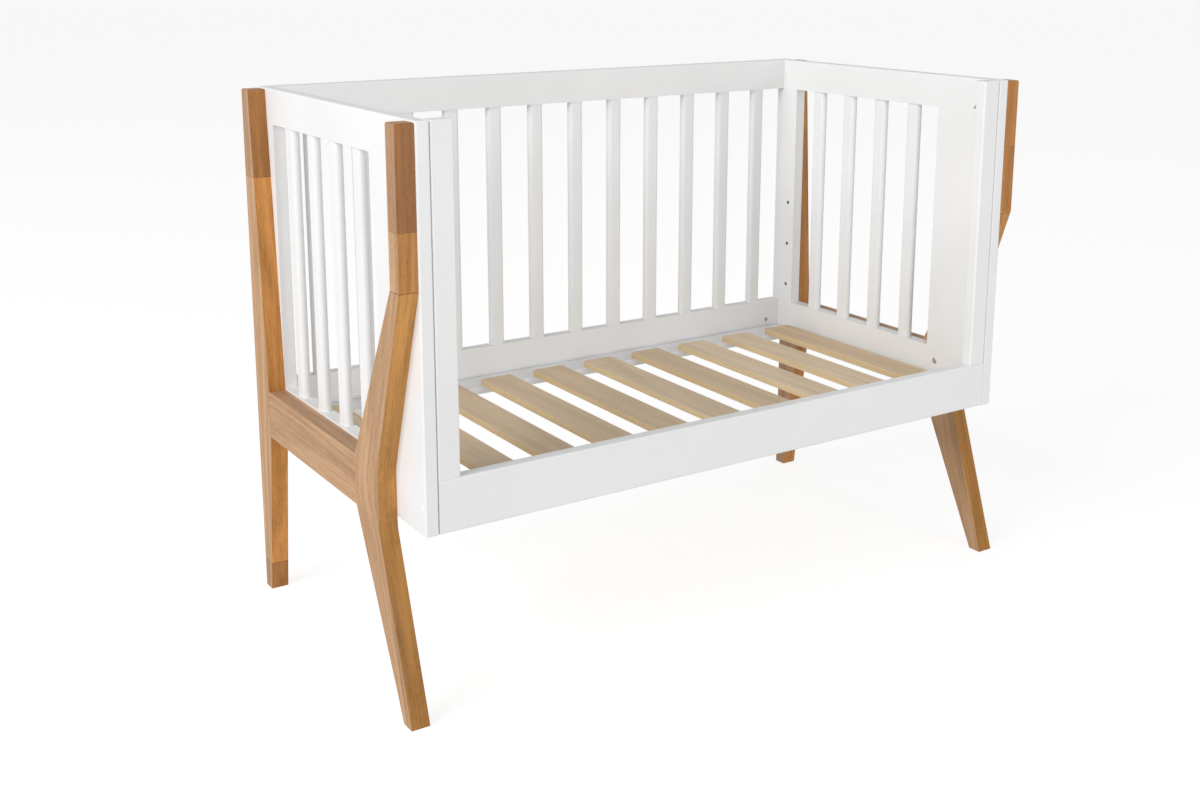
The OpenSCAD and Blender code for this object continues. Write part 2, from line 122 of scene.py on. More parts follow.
# Painted light on the front faces of a cranked leg, set against its upper block: painted shade below the
# knee's lower bend, darker and more saturated, and a painted sheen above it, lighter and bluer like a
# reflection of the sky
FOOT_PAINTED_SHADE = (0.80, 0.80, 0.32, 1)
ARM_PAINTED_SHEEN = (1.24, 1.40, 1.50, 1)
WHITE = (1.0, 1.0, 1.0, 1)
FINGER_WIDTH = 2.2 * MM
BEECH = (0.70, 0.52, 0.34)

# The floor's share of glow that lights the crib, and the brightness of the backdrop
FLOOR_BOUNCE = 0.5
BACKDROP = 0.94
FLOOR_RADIUS = 40.0

# Each softbox's place, the point that it is aimed at, its width and its height
SIDE_SOFTBOX = ((-7.5, -1.3, 4.5), (0.0, 0.0, 0.6), 6.0, 4.4)
FRONT_SOFTBOX = ((1.0, -5.2, 1.8), (0.4, 0.1, 0.5), 3.6, 2.0)
CAMERA_PLACE = (-1.5292, -2.2237, 1.2096)
CAMERA_YAW = 0.5733
CAMERA_DOWN = 0.2128
LENS_SHIFT = -0.11


# ---- Settings ----

def colour(name, description, default):
    """A colour that a user may change."""
    return FloatVectorProperty(
        name=name, description=description, default=default, subtype="COLOR", size=3, min=0, max=1)


def size(name, description, default):
    """A length that a user may change, in metres."""
    return FloatProperty(name=name, description=description, default=default, unit="LENGTH", min=0.0001)


def count(name, description, default):
    """A whole number that a user may change."""
    return IntProperty(name=name, description=description, default=default, min=1)


def strength(name, description, default, unit="NONE"):
    """A strength or power of light that a user may change."""
    return FloatProperty(name=name, description=description, default=default, unit=unit, min=0)


class CribPaintSettings(PropertyGroup):
    color: colour("Paint Colour", "Satin paint on panels, bars and base frame", (0.80, 0.80, 0.80))
    # The edge colour is a painted highlight, lighter than the paint, laid on the eased edges
    edge_highlight_color: colour("Edge Highlight Colour", "Painted highlight over an eased edge", (0.86, 0.86, 0.858))
    ease: size("Eased Edge", "Width of the rounding on the boards' long edges", 0.0011)
    seam: size("Seam", "Width of the fine rounding where two boards meet", 0.0004)


class CribOilSettings(PropertyGroup):
    face_color: colour("Face Grain", "Oiled wood on its flat-sawn faces", (0.475, 0.212, 0.05))
    edge_grain_color: colour("Edge Grain", "Oiled wood on its quarter-sawn faces", (0.47, 0.285, 0.158))
    ease: size("Eased Edge", "Width of the easing on the legs' edges", 0.0014)
    seam: size("Mitre Seam", "Width of the fine easing at the mitres and at the cross rail", 0.0003)


class CribBaseSettings(PropertyGroup):
    slat_count: count("Slats", "Number of slats in the mattress base", SLAT_NODES)
    slat_pitch: size("Slat Spacing", "From one slat's middle to the next", SLAT_PITCH)
    slat_corner: size("Slat Corner Radius", "Radius on the four corners of a slat", 0.007)
    slat_ease: size("Slat Eased Edge", "Radius on the long edges of a slat", 0.0015)
    slat_color: colour("Slat Colour", "Planed slats", (0.74, 0.60, 0.441))


class CribBarSettings(PropertyGroup):
    rear_count: count("Rear Bars", "Number of bars in the rear panel", REAR_BAR_NODES)
    rear_pitch: size("Rear Bar Spacing", "From one rear bar's middle to the next", REAR_BAR_PITCH)
    edge_points: count("Edge Points", "Points round each quarter of a bar's rounded edge", 9)


class CribFittingSettings(PropertyGroup):
    metal_color: colour("Zinc Colour", "Zinc plating on the fittings", (0.66, 0.66, 0.65))
    thread_pitch: size("Thread Pitch", "From one thread to the next on bolts, studs and inserts", 0.0015)
    thread_depth: size("Thread Depth", "Depth of the thread on bolts, studs and inserts", 0.00045)
    cap_color: colour("Cap Colour", "Moulded caps over the corner bolts", (0.88, 0.88, 0.87))
    spin_seed: count("Turn Seed", "Seed for how far each fitting was turned when it was tightened", 7)


class CribStudioSettings(PropertyGroup):
    floor_color: colour("Floor Colour", "The plain studio floor", (0.28, 0.28, 0.28))
    floor_glow: strength("Floor Glow", "Light from the floor itself, which keeps the shadows faint", 0.80)
    sky_strength: strength("Fill Light", "Light from the horizon all round", 0.68)
    sky_top: strength("Fill From Above", "Share of the fill light from straight above", 0.2)
    sky_left: strength("Fill From The Left", "Extra share of the fill light from the left", 0.1)
    sky_behind: strength("Fill From Behind", "Extra share from behind and from the right", 0.4)
    key_power: strength("Side Light", "Power of the large soft light at the left", 540, "POWER")
    front_power: strength("Front Light", "Power of the soft light low in front", 95, "POWER")
    lens: FloatProperty(name="Lens", description="Focal length, in millimetres", min=10, default=43.15)


SETTINGS = {
    "crib_paint": CribPaintSettings,
    "crib_oil": CribOilSettings,
    "crib_base": CribBaseSettings,
    "crib_bars": CribBarSettings,
    "crib_fittings": CribFittingSettings,
    "crib_studio": CribStudioSettings,
}


# ---- Node trees ----

class Wire:
    """A node's output. Arithmetic on it adds Math nodes, or Vector Math nodes for vectors and colours."""

    def __init__(self, tree, socket):
        self.tree = tree
        self.socket = socket

    def calc(self, operation, *values, clamp=False):
        """The result of an operation on this and other wires, numbers or vectors."""
        terms = (self, *values)
        kind = "ShaderNodeVectorMath" if any(map(has_parts, terms)) else "ShaderNodeMath"
        node = add(self.tree, kind, dict(enumerate(terms)), operation=operation)
        if clamp:
            node.use_clamp = True
        return Wire(self.tree, node.outputs[0])

    __add__ = partialmethod(calc, "ADD")
    __sub__ = partialmethod(calc, "SUBTRACT")
    __mul__ = partialmethod(calc, "MULTIPLY")
    __truediv__ = partialmethod(calc, "DIVIDE")

    def spread(self, from_low, from_high, to_low=0.0, to_high=1.0):
        """A clamped Map Range."""
        inputs = dict(enumerate((self, from_low, from_high, to_low, to_high)))
        return wire(self.tree, "ShaderNodeMapRange", inputs)

    def mix(self, first, second):
        """The first number or colour where this is 0, and the second where it is 1."""
        if has_parts(first) or has_parts(second):
            inputs = {0: self, 6: first, 7: second}
            return wire(self.tree, "ShaderNodeMix", inputs, 2, data_type="RGBA")
        return wire(self.tree, "ShaderNodeMix", {0: self, 2: first, 3: second})

    def noise(self, scale, detail=2.0, roughness=0.5, distortion=0.0):
        """A Noise Texture's value at this place."""
        return wire(self.tree, "ShaderNodeTexNoise", {
            "Vector": self, "Scale": scale, "Detail": detail,
            "Roughness": roughness, "Distortion": distortion,
        })

    def axes(self):
        """The X, Y and Z of this vector."""
        node = add(self.tree, "ShaderNodeSeparateXYZ", {0: self})
        return [Wire(self.tree, socket) for socket in node.outputs]


def has_parts(value):
    """True for a vector or a colour, False for a number."""
    if isinstance(value, Wire):
        return value.socket.type in ("VECTOR", "RGBA")
    return isinstance(value, tuple)


def fill(tree, node, inputs):
    """Fills a node's inputs with values or with wires."""
    for key, value in inputs.items():
        if isinstance(value, Wire):
            tree.links.new(value.socket, node.inputs[key])
        else:
            node.inputs[key].default_value = value


def add(tree, kind, inputs=None, **settings):
    """Adds a node, sets its settings and fills its inputs."""
    node = tree.nodes.new(kind)
    for name, value in settings.items():
        setattr(node, name, value)
    fill(tree, node, inputs or {})
    return node


def wire(tree, kind, inputs=None, key=0, **settings):
    """Adds a node and gives one of its outputs."""
    return Wire(tree, add(tree, kind, inputs, **settings).outputs[key])


def vector(tree, x=0.0, y=0.0, z=0.0):
    """A vector from numbers or wires."""
    return wire(tree, "ShaderNodeCombineXYZ", {0: x, 1: y, 2: z})


def place_group(tree, make_group, inputs):
    """Places a shader node group in a tree and gives its outputs by name."""
    node = add(tree, "ShaderNodeGroup", inputs, node_tree=make_group())
    return {socket.name: Wire(tree, socket) for socket in node.outputs}


def socket_kind(default):
    """An input's kind from its default, which is the kind's own name where it has no value."""
    if isinstance(default, str):
        return default
    return {float: "Float", int: "Int", tuple: "Color"}[type(default)]


def node_group(name, kind, inputs, outputs):
    """Makes the function below it the builder of a node group, which runs once."""
    def mark(build):
        def get_group():
            if name in bpy.data.node_groups:
                return bpy.data.node_groups[name]
            tree = bpy.data.node_groups.new(name, kind)
            sockets = [(key, "INPUT", default) for key, default in inputs.items()]
            sockets += [(key, "OUTPUT", default) for key, default in outputs.items()]
            for key, way, default in sockets:
                socket = tree.interface.new_socket(
                    key, in_out=way, socket_type="NodeSocket" + socket_kind(default))
                if not isinstance(default, str):
                    socket.default_value = default
            given = {socket.name: Wire(tree, socket) for socket in tree.nodes.new("NodeGroupInput").outputs}
            fill(tree, tree.nodes.new("NodeGroupOutput"), build(tree, given))
            return tree
        return get_group
    return mark


SURFACE = {"Color": "Color", "Height": "Float", "Roughness": "Float"}


@node_group("Hardwood grain", "ShaderNodeTree", {
    "Vector": "Vector", "Base Color": (0.5, 0.3, 0.15, 1), "Seed": 0.0, "Band Scale": 26.0,
    "Band Contrast": 0.25, "Fibre Contrast": 0.2, "Pore Amount": 0.4, "Ray Amount": 0.0,
}, {"Color": "Color", "Height": "Float", "Pores": "Float"})
def grain_group(tree, given):
    """Planed hardwood whose grain runs along Z: colour bands, fibres and fine pores."""
    moved = given["Vector"] + given["Seed"] * (3.17, 5.71, 1.93)
    slow = moved * (1.0, 1.0, 0.07)
    long_fibre = moved * (1.0, 1.0, 0.022)
    field = slow.noise(given["Band Scale"], 2.0, 0.45, 0.35)
    band = (field * 46.0).calc("SINE").spread(-1.0, 1.0)
    streak = long_fibre.noise(210.0, 5.0, 0.62)
    fibre = long_fibre.noise(1150.0, 3.0, 0.6)
    wide = slow.noise(9.0)
    pore_field = (moved * (1.0, 1.0, 0.055)).noise(1500.0, 1.0)
    pores = pore_field.spread(0.60, 0.70) * band.spread(0.1, 0.9, 1.0, 0.35)
    streaks = (streak - 0.5) * given["Fibre Contrast"] * 2.2
    fibres = (fibre - 0.5) * given["Fibre Contrast"] * 1.4
    tone = (band - 0.5) * given["Band Contrast"] + streaks + 1.0
    tone = tone + (fibres + (wide - 0.5) * given["Band Contrast"])
    warm = tone.spread(0.7, 1.3).mix((0.94, 0.86, 0.72, 1), WHITE)
    toned = given["Base Color"] * warm * tone
    wood = (pores * given["Pore Amount"]).mix(toned, toned * (0.42, 0.36, 0.30))
    ray_field = (moved * (0.5, 1.0, 0.25)).noise(330.0)
    rays = ray_field.spread(0.62, 0.70) * given["Ray Amount"]
    wood = rays.mix(wood, toned * (0.72, 0.62, 0.5))
    return {"Color": wood, "Height": streak * 0.5 + fibre * 0.3 - pores, "Pores": pores}


@node_group("Eased edge", "ShaderNodeTree", {
    "Vector": "Vector", "Edge": 0.0, "Color": WHITE, "Edge Color": WHITE, "Amount": 0.5, "Patch Scale": 40.0,
}, {"Color": "Color"})
def edge_highlight_group(tree, given):
    """Painted highlight over an eased edge, broken into uneven patches along its length like light wear."""
    patches = given["Vector"].noise(given["Patch Scale"], 3.0, 0.6)
    mask = given["Edge"] * patches.spread(0.30, 0.62, 0.35, 1.0)
    mask = mask.calc("MULTIPLY", given["Amount"], clamp=True)
    return {"Color": mask.mix(given["Color"], given["Edge Color"])}


BLOCK_INPUTS = {
    "Upper Joint": 0.8, "Lower Joint": 0.05, "Upper Tone": 1.0, "Middle Tone": 1.0, "Lower Tone": 1.0,
    "Strip Place": 0.0, "Strip Tone": 1.0, "Finger Length": 0.006,
}


@node_group("Jointed blocks", "ShaderNodeTree", {
    "Vector": "Vector", **BLOCK_INPUTS,
}, {"Tone": "Float", "Seam": "Float", "Part": "Float"})
def blocks_group(tree, given):
    """Finger-jointed blocks along Z and glued strips across Y: a tone for each, and the thin glue lines."""
    _, across, along = given["Vector"].axes()
    height = along + across.calc("PINGPONG", FINGER_WIDTH) / FINGER_WIDTH * given["Finger Length"]
    above = height.calc("GREATER_THAN", given["Upper Joint"])
    below = height.calc("LESS_THAN", given["Lower Joint"])
    beside = across.calc("GREATER_THAN", given["Strip Place"])
    tone = below.mix(above.mix(given["Middle Tone"], given["Upper Tone"]), given["Lower Tone"])
    upper, lower, strip = (
        (place - given[joint]).calc("ABSOLUTE").spread(0.0, width, 1.0, 0.0)
        for joint, place, width in (
            ("Upper Joint", height, 0.6 * MM),
            ("Lower Joint", height, 1.1 * MM),
            ("Strip Place", across, 0.25 * MM),
        )
    )
    return {
        "Tone": tone * beside.mix(1.0, given["Strip Tone"]),
        "Seam": upper.calc("MAXIMUM", lower).calc("MAXIMUM", strip),
        "Part": above + below * 2.0 + beside * 4.0,
    }


@node_group("Oiled leg wood", "ShaderNodeTree", {
    "Vector": "Vector", "Facing": 0.0, "Edge": 0.0, "Follow": 1.0, "Front": 0.0,
    "Face Grain": (0.5, 0.3, 0.1, 1), "Edge Grain": (0.5, 0.3, 0.1, 1), "Seed": 0.0, **BLOCK_INPUTS,
}, SURFACE)
def leg_group(tree, given):
    """Oiled leg wood: the grain follows a cranked leg from the foot through the knee to the mitre."""
    x, y, z = given["Vector"].axes()
    arm = z.spread(0.380, 0.711, 0.0, 0.101)
    foot = z.spread(0.340, 0.0, 0.0, 0.103)
    centre = arm + foot + 0.208
    laid = vector(tree, x, y.calc("ABSOLUTE") - centre * given["Follow"], z)
    blocks = place_group(tree, blocks_group, {"Vector": laid, **{key: given[key] for key in BLOCK_INPUTS}})
    edge_grain = given["Facing"]
    tone = edge_grain.mix(blocks["Tone"], blocks["Tone"].calc("POWER", 0.35))
    redder = tone.spread(0.7, 1.0).mix((1.06, 0.97, 1.0, 1), WHITE)
    base = edge_grain.mix(given["Face Grain"], given["Edge Grain"]) * redder * tone
    # Painted shade on the foot's front faces and a painted sheen on the arm's front faces of the front legs,
    # by height
    tint = z.spread(0.282, 0.322).mix(FOOT_PAINTED_SHADE, ARM_PAINTED_SHEEN)
    tint = z.spread(0.7108, 0.7112).mix(tint, WHITE)
    base = base * (given["Front"] * given["Follow"]).mix(WHITE, tint)
    grain = place_group(tree, grain_group, {
        "Vector": laid, "Base Color": base, "Seed": given["Seed"] + blocks["Part"] * 0.37,
        "Band Scale": 13.0, "Band Contrast": 0.18, "Fibre Contrast": 0.36,
        "Pore Amount": 0.62, "Ray Amount": 0.25,
    })
    wood = blocks["Seam"].mix(grain["Color"], grain["Color"] * (0.42, 0.34, 0.28))
    # The eased edges get a painted highlight, lighter and bluer than the wood
    edge = place_group(tree, edge_highlight_group, {
        "Vector": laid, "Edge": given["Edge"], "Color": wood,
        "Edge Color": wood * (1.22, 1.26, 1.34), "Amount": 0.75,
    })
    rough = laid.noise(22.0, 3.0, 0.6).spread(0.3, 0.7, 0.46, 0.58)
    return {
        "Color": edge["Color"],
        "Height": grain["Height"] - blocks["Seam"] * 0.6,
        "Roughness": rough.calc("ADD", grain["Pores"] * 0.18, clamp=True),
    }


@node_group("Satin paint", "ShaderNodeTree", {
    "Vector": "Vector", "Color": (0.9, 0.9, 0.9, 1), "Edge Color": WHITE, "Edge": 0.0,
    "Peel Scale": 420.0, "Grain Show": 0.35, "Shade Range": 0.02,
}, SURFACE)
def paint_group(tree, given):
    """Sprayed satin paint over wood: orange peel, faint raised grain along Z, and a little uneven shade."""
    place = given["Vector"]
    shading = given["Shade Range"]
    peel = place.noise(given["Peel Scale"])
    dust = place.noise(2100.0, 0.0).spread(0.72, 0.80)
    raised = (place * (1.0, 1.0, 0.03)).noise(380.0, 3.0, 0.55)
    shade = place.noise(5.0).spread(0.3, 0.7, -1.0, 1.0) * shading + 1.0
    shade = shade + raised.spread(0.35, 0.65, -0.5, 0.5) * (shading * 0.6)
    # The lighter edge colour paints a highlight along the eased edges
    edge = place_group(tree, edge_highlight_group, {
        "Vector": place, "Edge": given["Edge"], "Color": given["Color"] * shade,
        "Edge Color": given["Edge Color"], "Amount": 0.6,
    })
    rough = place.noise(14.0, 3.0, 0.6).spread(0.3, 0.7, 0.36, 0.46)
    return {
        "Color": edge["Color"],
        "Height": peel * 0.5 + dust * 0.25 + raised * given["Grain Show"],
        "Roughness": rough + peel * 0.05,
    }


@node_group("Zinc plating", "ShaderNodeTree", {
    "Vector": "Vector", "Color": (0.66, 0.66, 0.65, 1), "Cloud Scale": 420.0, "Polish": 0.30,
}, SURFACE)
def plated_group(tree, given):
    """Zinc plating over turned steel: cloudy brightness, turning marks and tiny scratches."""
    place = given["Vector"]
    clouds = place.noise(given["Cloud Scale"], 3.0, 0.6)
    fine = place.noise(2600.0, 2.0, 0.6)
    marks = (place * (1.0, 0.05, 0.05)).noise(3500.0)
    cool = clouds.mix((0.90, 0.93, 1.0, 1), (1.0, 0.97, 0.88, 1))
    return {
        "Color": given["Color"] * cool * fine.spread(0.3, 0.7, 0.86, 1.08),
        "Height": marks * 0.6 + fine,
        "Roughness": given["Polish"] + clouds.spread(0.3, 0.7, -0.06, 0.10),
    }


# ---- Materials ----

def rgba(color):
    return (*color, 1.0)


def once(make):
    """Makes a material the first time that its name is asked for."""
    def get_material(name, *values):
        return bpy.data.materials.get(name) or make(name, *values)
    return get_material


def new_material(name, color, roughness, metallic=0.0):
    """A material with its Principled shader, and its Object coordinates."""
    material = bpy.data.materials.new(name)
    material.use_nodes = True
    material.diffuse_color = rgba(color)
    tree = material.node_tree
    shader = tree.nodes["Principled BSDF"]
    fill(tree, shader, {"Base Color": rgba(color), "Roughness": roughness, "Metallic": metallic})
    return material, tree, shader, wire(tree, "ShaderNodeTexCoord", key="Object")


def finish_surface(tree, shader, look, bump, distance):
    """Feeds a colour, a roughness and a height to the shader."""
    relief = {"Height": look["Height"], "Distance": distance, "Strength": bump}
    fill(tree, shader, {
        "Base Color": look["Color"], "Roughness": look["Roughness"],
        "Normal": wire(tree, "ShaderNodeBump", relief),
    })


def edge_attribute(tree):
    """The mask of the eased edges that the boards carry."""
    return wire(tree, "ShaderNodeAttribute", key="Fac", attribute_name="eased")


def facing(tree):
    """The X, Y and Z of the way that the surface faces."""
    return wire(tree, "ShaderNodeNewGeometry", key="Normal").axes()


def turned(tree, place, along):
    """Coordinates turned so that the grain runs along Z."""
    quarter = math.pi / 2
    turns = {"x": (0.0, quarter, 0.0), "y": (quarter, 0.0, 0.0), "z": (0.0, 0.0, 0.0)}
    return wire(tree, "ShaderNodeMapping", {"Vector": place, "Rotation": turns[along]})


@once
def paint_material(name, settings, along):
    """Satin paint on a board whose grain runs along x, y or z."""
    material, tree, shader, place = new_material(name, settings.color, 0.42)
    fill(tree, shader, {"Coat Weight": 0.12, "Coat Roughness": 0.28})
    look = place_group(tree, paint_group, {
        "Vector": turned(tree, place, along), "Color": rgba(settings.color),
        "Edge Color": rgba(settings.edge_highlight_color), "Edge": edge_attribute(tree),
    })
    finish_surface(tree, shader, look, 0.22, 0.4 * MM)
    return material


WOOD_INPUTS = ("Seed", *BLOCK_INPUTS)

# Seed, upper and lower joint, upper, middle and lower tone, strip's place and tone, finger length
LEG_WOOD = {
    "front_left": (1.0, 0.803, 0.711, 0.76, 1.20, 1.12, -0.0015, 0.83, 0.0),
    "rear_left": (2.3, 0.806, 0.054, 0.82, 1.34, 0.84, 0.306, 0.92, 0.0),
    "front_right": (3.9, 0.842, 0.711, 0.96, 1.0, 0.96, 0.006, 0.93, 0.006),
    "rear_right": (5.2, 0.806, 0.128, 1.05, 0.90, 1.02, 0.300, 1.06, 0.0),
}
CROSS_WOOD = {
    "left": (6.7, 1.0, -1.0, 1.0, 1.0, 1.0, 9.0, 1.0, 0.0),
    "right": (8.4, 1.0, -1.0, 1.0, 1.0, 1.0, 9.0, 1.0, 0.0),
}


@once
def leg_material(name, settings, values, along, follow):
    """Oiled hardwood for one leg or cross rail, with its own blocks and strips."""
    material, tree, shader, place = new_material(name, settings.face_color, 0.5)
    # Front marks the forward faces, which carry the leg's painted shade and sheen
    depth_way = facing(tree)[1]
    look = place_group(tree, leg_group, {
        "Vector": turned(tree, place, along), "Follow": follow, "Edge": edge_attribute(tree),
        "Facing": depth_way.calc("ABSOLUTE").spread(0.65, 0.35), "Front": depth_way.spread(-0.4, -0.7),
        "Face Grain": rgba(settings.face_color), "Edge Grain": rgba(settings.edge_grain_color),
        **dict(zip(WOOD_INPUTS, values)),
    })
    finish_surface(tree, shader, look, 0.30, 0.5 * MM)
    return material


@once
def slat_material(name, settings):
    """Planed slats: each has its own tone and its own run of the grain."""
    material, tree, shader, place = new_material(name, settings.slat_color, 0.6)
    number = (place.axes()[0] / settings.slat_pitch).calc("FLOOR")
    chance = wire(tree, "ShaderNodeTexWhiteNoise", {"W": number}, "Value", noise_dimensions="1D")
    side = facing(tree)[0].calc("ABSOLUTE").spread(0.5, 0.8)
    base = chance.spread(0.0, 1.0, 0.90, 1.10) * tuple(settings.slat_color)
    base = base * chance.mix((1.03, 1.0, 0.95, 1), (0.98, 1.0, 1.03, 1))
    base = base * side.mix(WHITE, (0.90, 0.86, 0.73, 1))
    vector_y = turned(tree, place, "y")
    grain = place_group(tree, grain_group, {
        "Vector": vector_y, "Base Color": base, "Seed": number, "Band Scale": 9.0,
        "Band Contrast": 0.07, "Fibre Contrast": 0.15, "Pore Amount": 0.32, "Ray Amount": 0.15,
    })
    # The eased edges get a painted highlight, lighter than the wood
    edge = place_group(tree, edge_highlight_group, {
        "Vector": vector_y, "Edge": edge_attribute(tree), "Color": grain["Color"],
        "Edge Color": grain["Color"] * (1.14, 1.13, 1.10), "Amount": 0.8,
    })
    rough = grain["Pores"].spread(0.0, 1.0, 0.58, 0.74)
    look = {"Color": edge["Color"], "Roughness": rough, "Height": grain["Height"]}
    finish_surface(tree, shader, look, 0.3, 0.5 * MM)
    return material


@once
def dowel_material(name):
    """Pale beech with short ray flecks."""
    material, tree, shader, place = new_material(name, BEECH, 0.62)
    grain = place_group(tree, grain_group, {
        "Vector": place, "Base Color": rgba(BEECH), "Seed": 11.0, "Band Scale": 30.0,
        "Band Contrast": 0.12, "Fibre Contrast": 0.14, "Pore Amount": 0.25, "Ray Amount": 0.6,
    })
    rough = grain["Pores"].spread(0.0, 1.0, 0.56, 0.72)
    finish_surface(tree, shader, {**grain, "Roughness": rough}, 0.3, 0.3 * MM)
    return material


@once
def zinc_material(name, settings, polish=0.30):
    """Zinc-plated steel for bolts, nuts and inserts."""
    material, tree, shader, place = new_material(name, settings.metal_color, polish, 1.0)
    look = place_group(tree, plated_group, {
        "Vector": place, "Color": rgba(settings.metal_color), "Polish": polish,
    })
    finish_surface(tree, shader, look, 0.15, 0.1 * MM)
    return material


@once
def cap_material(name, settings):
    """White moulded plastic with a fine spark-eroded texture."""
    material, tree, shader, place = new_material(name, settings.cap_color, 0.38)
    grit = place.noise(3800.0)
    shade = place.noise(130.0).spread(0.3, 0.7, 0.97, 1.02)
    finish_surface(tree, shader, {
        "Color": shade * tuple(settings.cap_color), "Height": grit,
        "Roughness": grit.spread(0.3, 0.7, 0.32, 0.46),
    }, 0.25, 0.1 * MM)
    return material


# ---- Meshes ----

@contextmanager
def edited(mesh):
    """The mesh as a bmesh, which is written back at the end."""
    bm = bmesh.new()
    bm.from_mesh(mesh)
    yield bm
    bm.to_mesh(mesh)
    bm.free()


def new_piece(name, mesh):
    """A linked object at the origin."""
    piece = bpy.data.objects.new(name, mesh)
    bpy.context.scene.collection.objects.link(piece)
    return piece


def settle(piece):
    """Turns an object with modifiers into a plain mesh."""
    graph = bpy.context.evaluated_depsgraph_get()
    mesh = bpy.data.meshes.new_from_object(
        piece.evaluated_get(graph), preserve_all_data_layers=True, depsgraph=graph)
    piece.modifiers.clear()
    piece.data = mesh
    return mesh


def crease(mesh):
    """Smooth shading with creases."""
    mesh.shade_smooth()
    mesh.set_sharp_from_angle(angle=CREASE_ANGLE)


def smooth_flat(piece):
    """Smooth shading that keeps flat faces flat and creases sharp."""
    crease(piece.data)
    even = piece.modifiers.new("Even normals", "WEIGHTED_NORMAL")
    even.keep_sharp = True
    even.weight = 60
    settle(piece)


def hand_over(piece, body, slot, *nodes):
    """Hangs a finished piece on its body's empty and hides the CAD nodes that it replaces."""
    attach(piece, body)
    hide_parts(*nodes)


def ease_edges(piece, material, width, weigh, segments=2):
    """Rounds the sharp edges by a share of width that weigh gives, and marks the new faces as eased."""
    mesh = piece.data
    with edited(mesh) as bm:
        bmesh.ops.remove_doubles(bm, verts=bm.verts, dist=2e-6)
        bmesh.ops.dissolve_limit(bm, angle_limit=math.radians(0.5), verts=bm.verts, edges=bm.edges)
        weights = bm.edges.layers.float.new("bevel_weight_edge")
        for edge in bm.edges:
            if len(edge.link_faces) == 2 and edge.calc_face_angle(0.0) > EASED_ANGLE:
                edge[weights] = weigh(edge)
    mesh.materials.clear()
    mesh.materials.append(material)
    mesh.materials.append(material)
    bevel = piece.modifiers.new("Eased edges", "BEVEL")
    bevel.limit_method = "WEIGHT"
    bevel.width = width
    bevel.segments = segments
    bevel.use_clamp_overlap = True
    bevel.material = 1
    mesh = settle(piece)
    eased = [float(face.material_index == 1) for face in mesh.polygons]
    mesh.attributes.new("eased", "FLOAT", "FACE").data.foreach_set("value", eased)
    mesh.polygons.foreach_set("material_index", [0] * len(mesh.polygons))
    mesh.materials.clear()
    mesh.materials.append(material)
    smooth_flat(piece)


def eased_board(node, finish, material, settings, seams):
    """The CAD node's shape with eased edges: finer ones in the seams, as (axis, place), and round holes."""
    piece = new_piece(f"{node}_{finish}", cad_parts[node].data.copy())

    def weigh(edge):
        if any(all(abs(v.co[axis] - place) < PLANE_REACH for v in edge.verts) for axis, place in seams):
            return settings.seam / settings.ease
        return RIM_SHARE if edge.calc_length() < RIM_EDGE else 1.0

    ease_edges(piece, material, settings.ease, weigh)
    return piece


def painted_board(node, along, seams, body="frame"):
    """One painted board, whose grain runs along x, y or z."""
    settings = bpy.context.scene.crib_paint
    material = paint_material(f"Satin white paint, grain along {along.upper()}", settings, along)
    hand_over(eased_board(node, "painted", material, settings, seams), body, "painted_wood", node)


def clean_normals(mesh):
    """Merges doubles and turns every face outwards."""
    with edited(mesh) as bm:
        bmesh.ops.remove_doubles(bm, verts=bm.verts, dist=1e-6)
        bmesh.ops.recalc_face_normals(bm, faces=bm.faces)


# ---- Turned shapes, in millimetres ----

def spin_mesh(name, rings, sides):
    """A turned shape along Z from rings of (height, radius); a radius may be a rule of (angle, height)."""
    verts = []
    faces = []
    rows = []
    for height, radius in rings:
        centred = not callable(radius) and radius == 0
        row = []
        for k in range(1 if centred else sides):
            angle = math.tau * k / sides
            reach = radius(angle, height) if callable(radius) else radius
            row.append(len(verts))
            verts.append((reach * MM * math.cos(angle), reach * MM * math.sin(angle), height * MM))
        rows.append(row)
    for low, high in zip(rows, rows[1:]):
        for k in range(sides):
            ring = [(low, k), (low, k + 1), (high, k + 1), (high, k)]
            face = list(dict.fromkeys(row[i % len(row)] for row, i in ring))
            if len(face) > 2:
                faces.append(face)
    mesh = bpy.data.meshes.new(name)
    mesh.from_pydata(verts, [], faces)
    clean_normals(mesh)
    return mesh


def thread_rings(start, end, radius, pitch, depth, steps=4):
    """Rings of a length with a helical thread."""
    def rule(angle, height):
        phase = (height / pitch - angle / math.tau) % 1.0
        return radius - depth * abs(2.0 * phase - 1.0)

    last = max(2, round(abs(end - start) / pitch * steps))
    return [(start + (end - start) * i / last, rule) for i in range(last + 1)]


def hexagon(apothem):
    """Radius of a hexagon at an angle."""
    return lambda angle, height: apothem / math.cos((angle % (math.pi / 3)) - math.pi / 6)


def cross_recess(arm, waist):
    """Radius of a cross recess at an angle."""
    def rule(angle, height):
        off_arm = abs(((angle + math.pi / 4) % (math.pi / 2)) - math.pi / 4)
        return arm if off_arm < 0.14 else waist
    return rule


def flutes(radius, depth, number):
    """Radius of a fluted dowel at an angle."""
    return lambda angle, height: radius - depth * (0.5 - 0.5 * math.cos(number * angle))


def machine_thread():
    """Pitch and depth of the thread on bolts, studs and inserts."""
    settings = bpy.context.scene.crib_fittings
    return settings.thread_pitch / MM, settings.thread_depth / MM


def insert_rings(length):
    """A threaded insert: a hexagon mouth, a flat rim, a coarse outer thread and an inner bore."""
    outer = 4.5
    bore = 3.05
    mouth = hexagon(bore)
    pitch, depth = machine_thread()
    return [
        (0.0, outer - 0.3), (0.25, outer), (1.0, outer),
        *thread_rings(1.1, length - 0.9, outer, pitch * 1.4, depth),
        (length - 0.4, outer - 0.5), (length, outer - 1.0), (length, bore),
        (3.0, bore), (2.9, mouth), (0.0, mouth), (0.0, outer - 0.3),
    ]


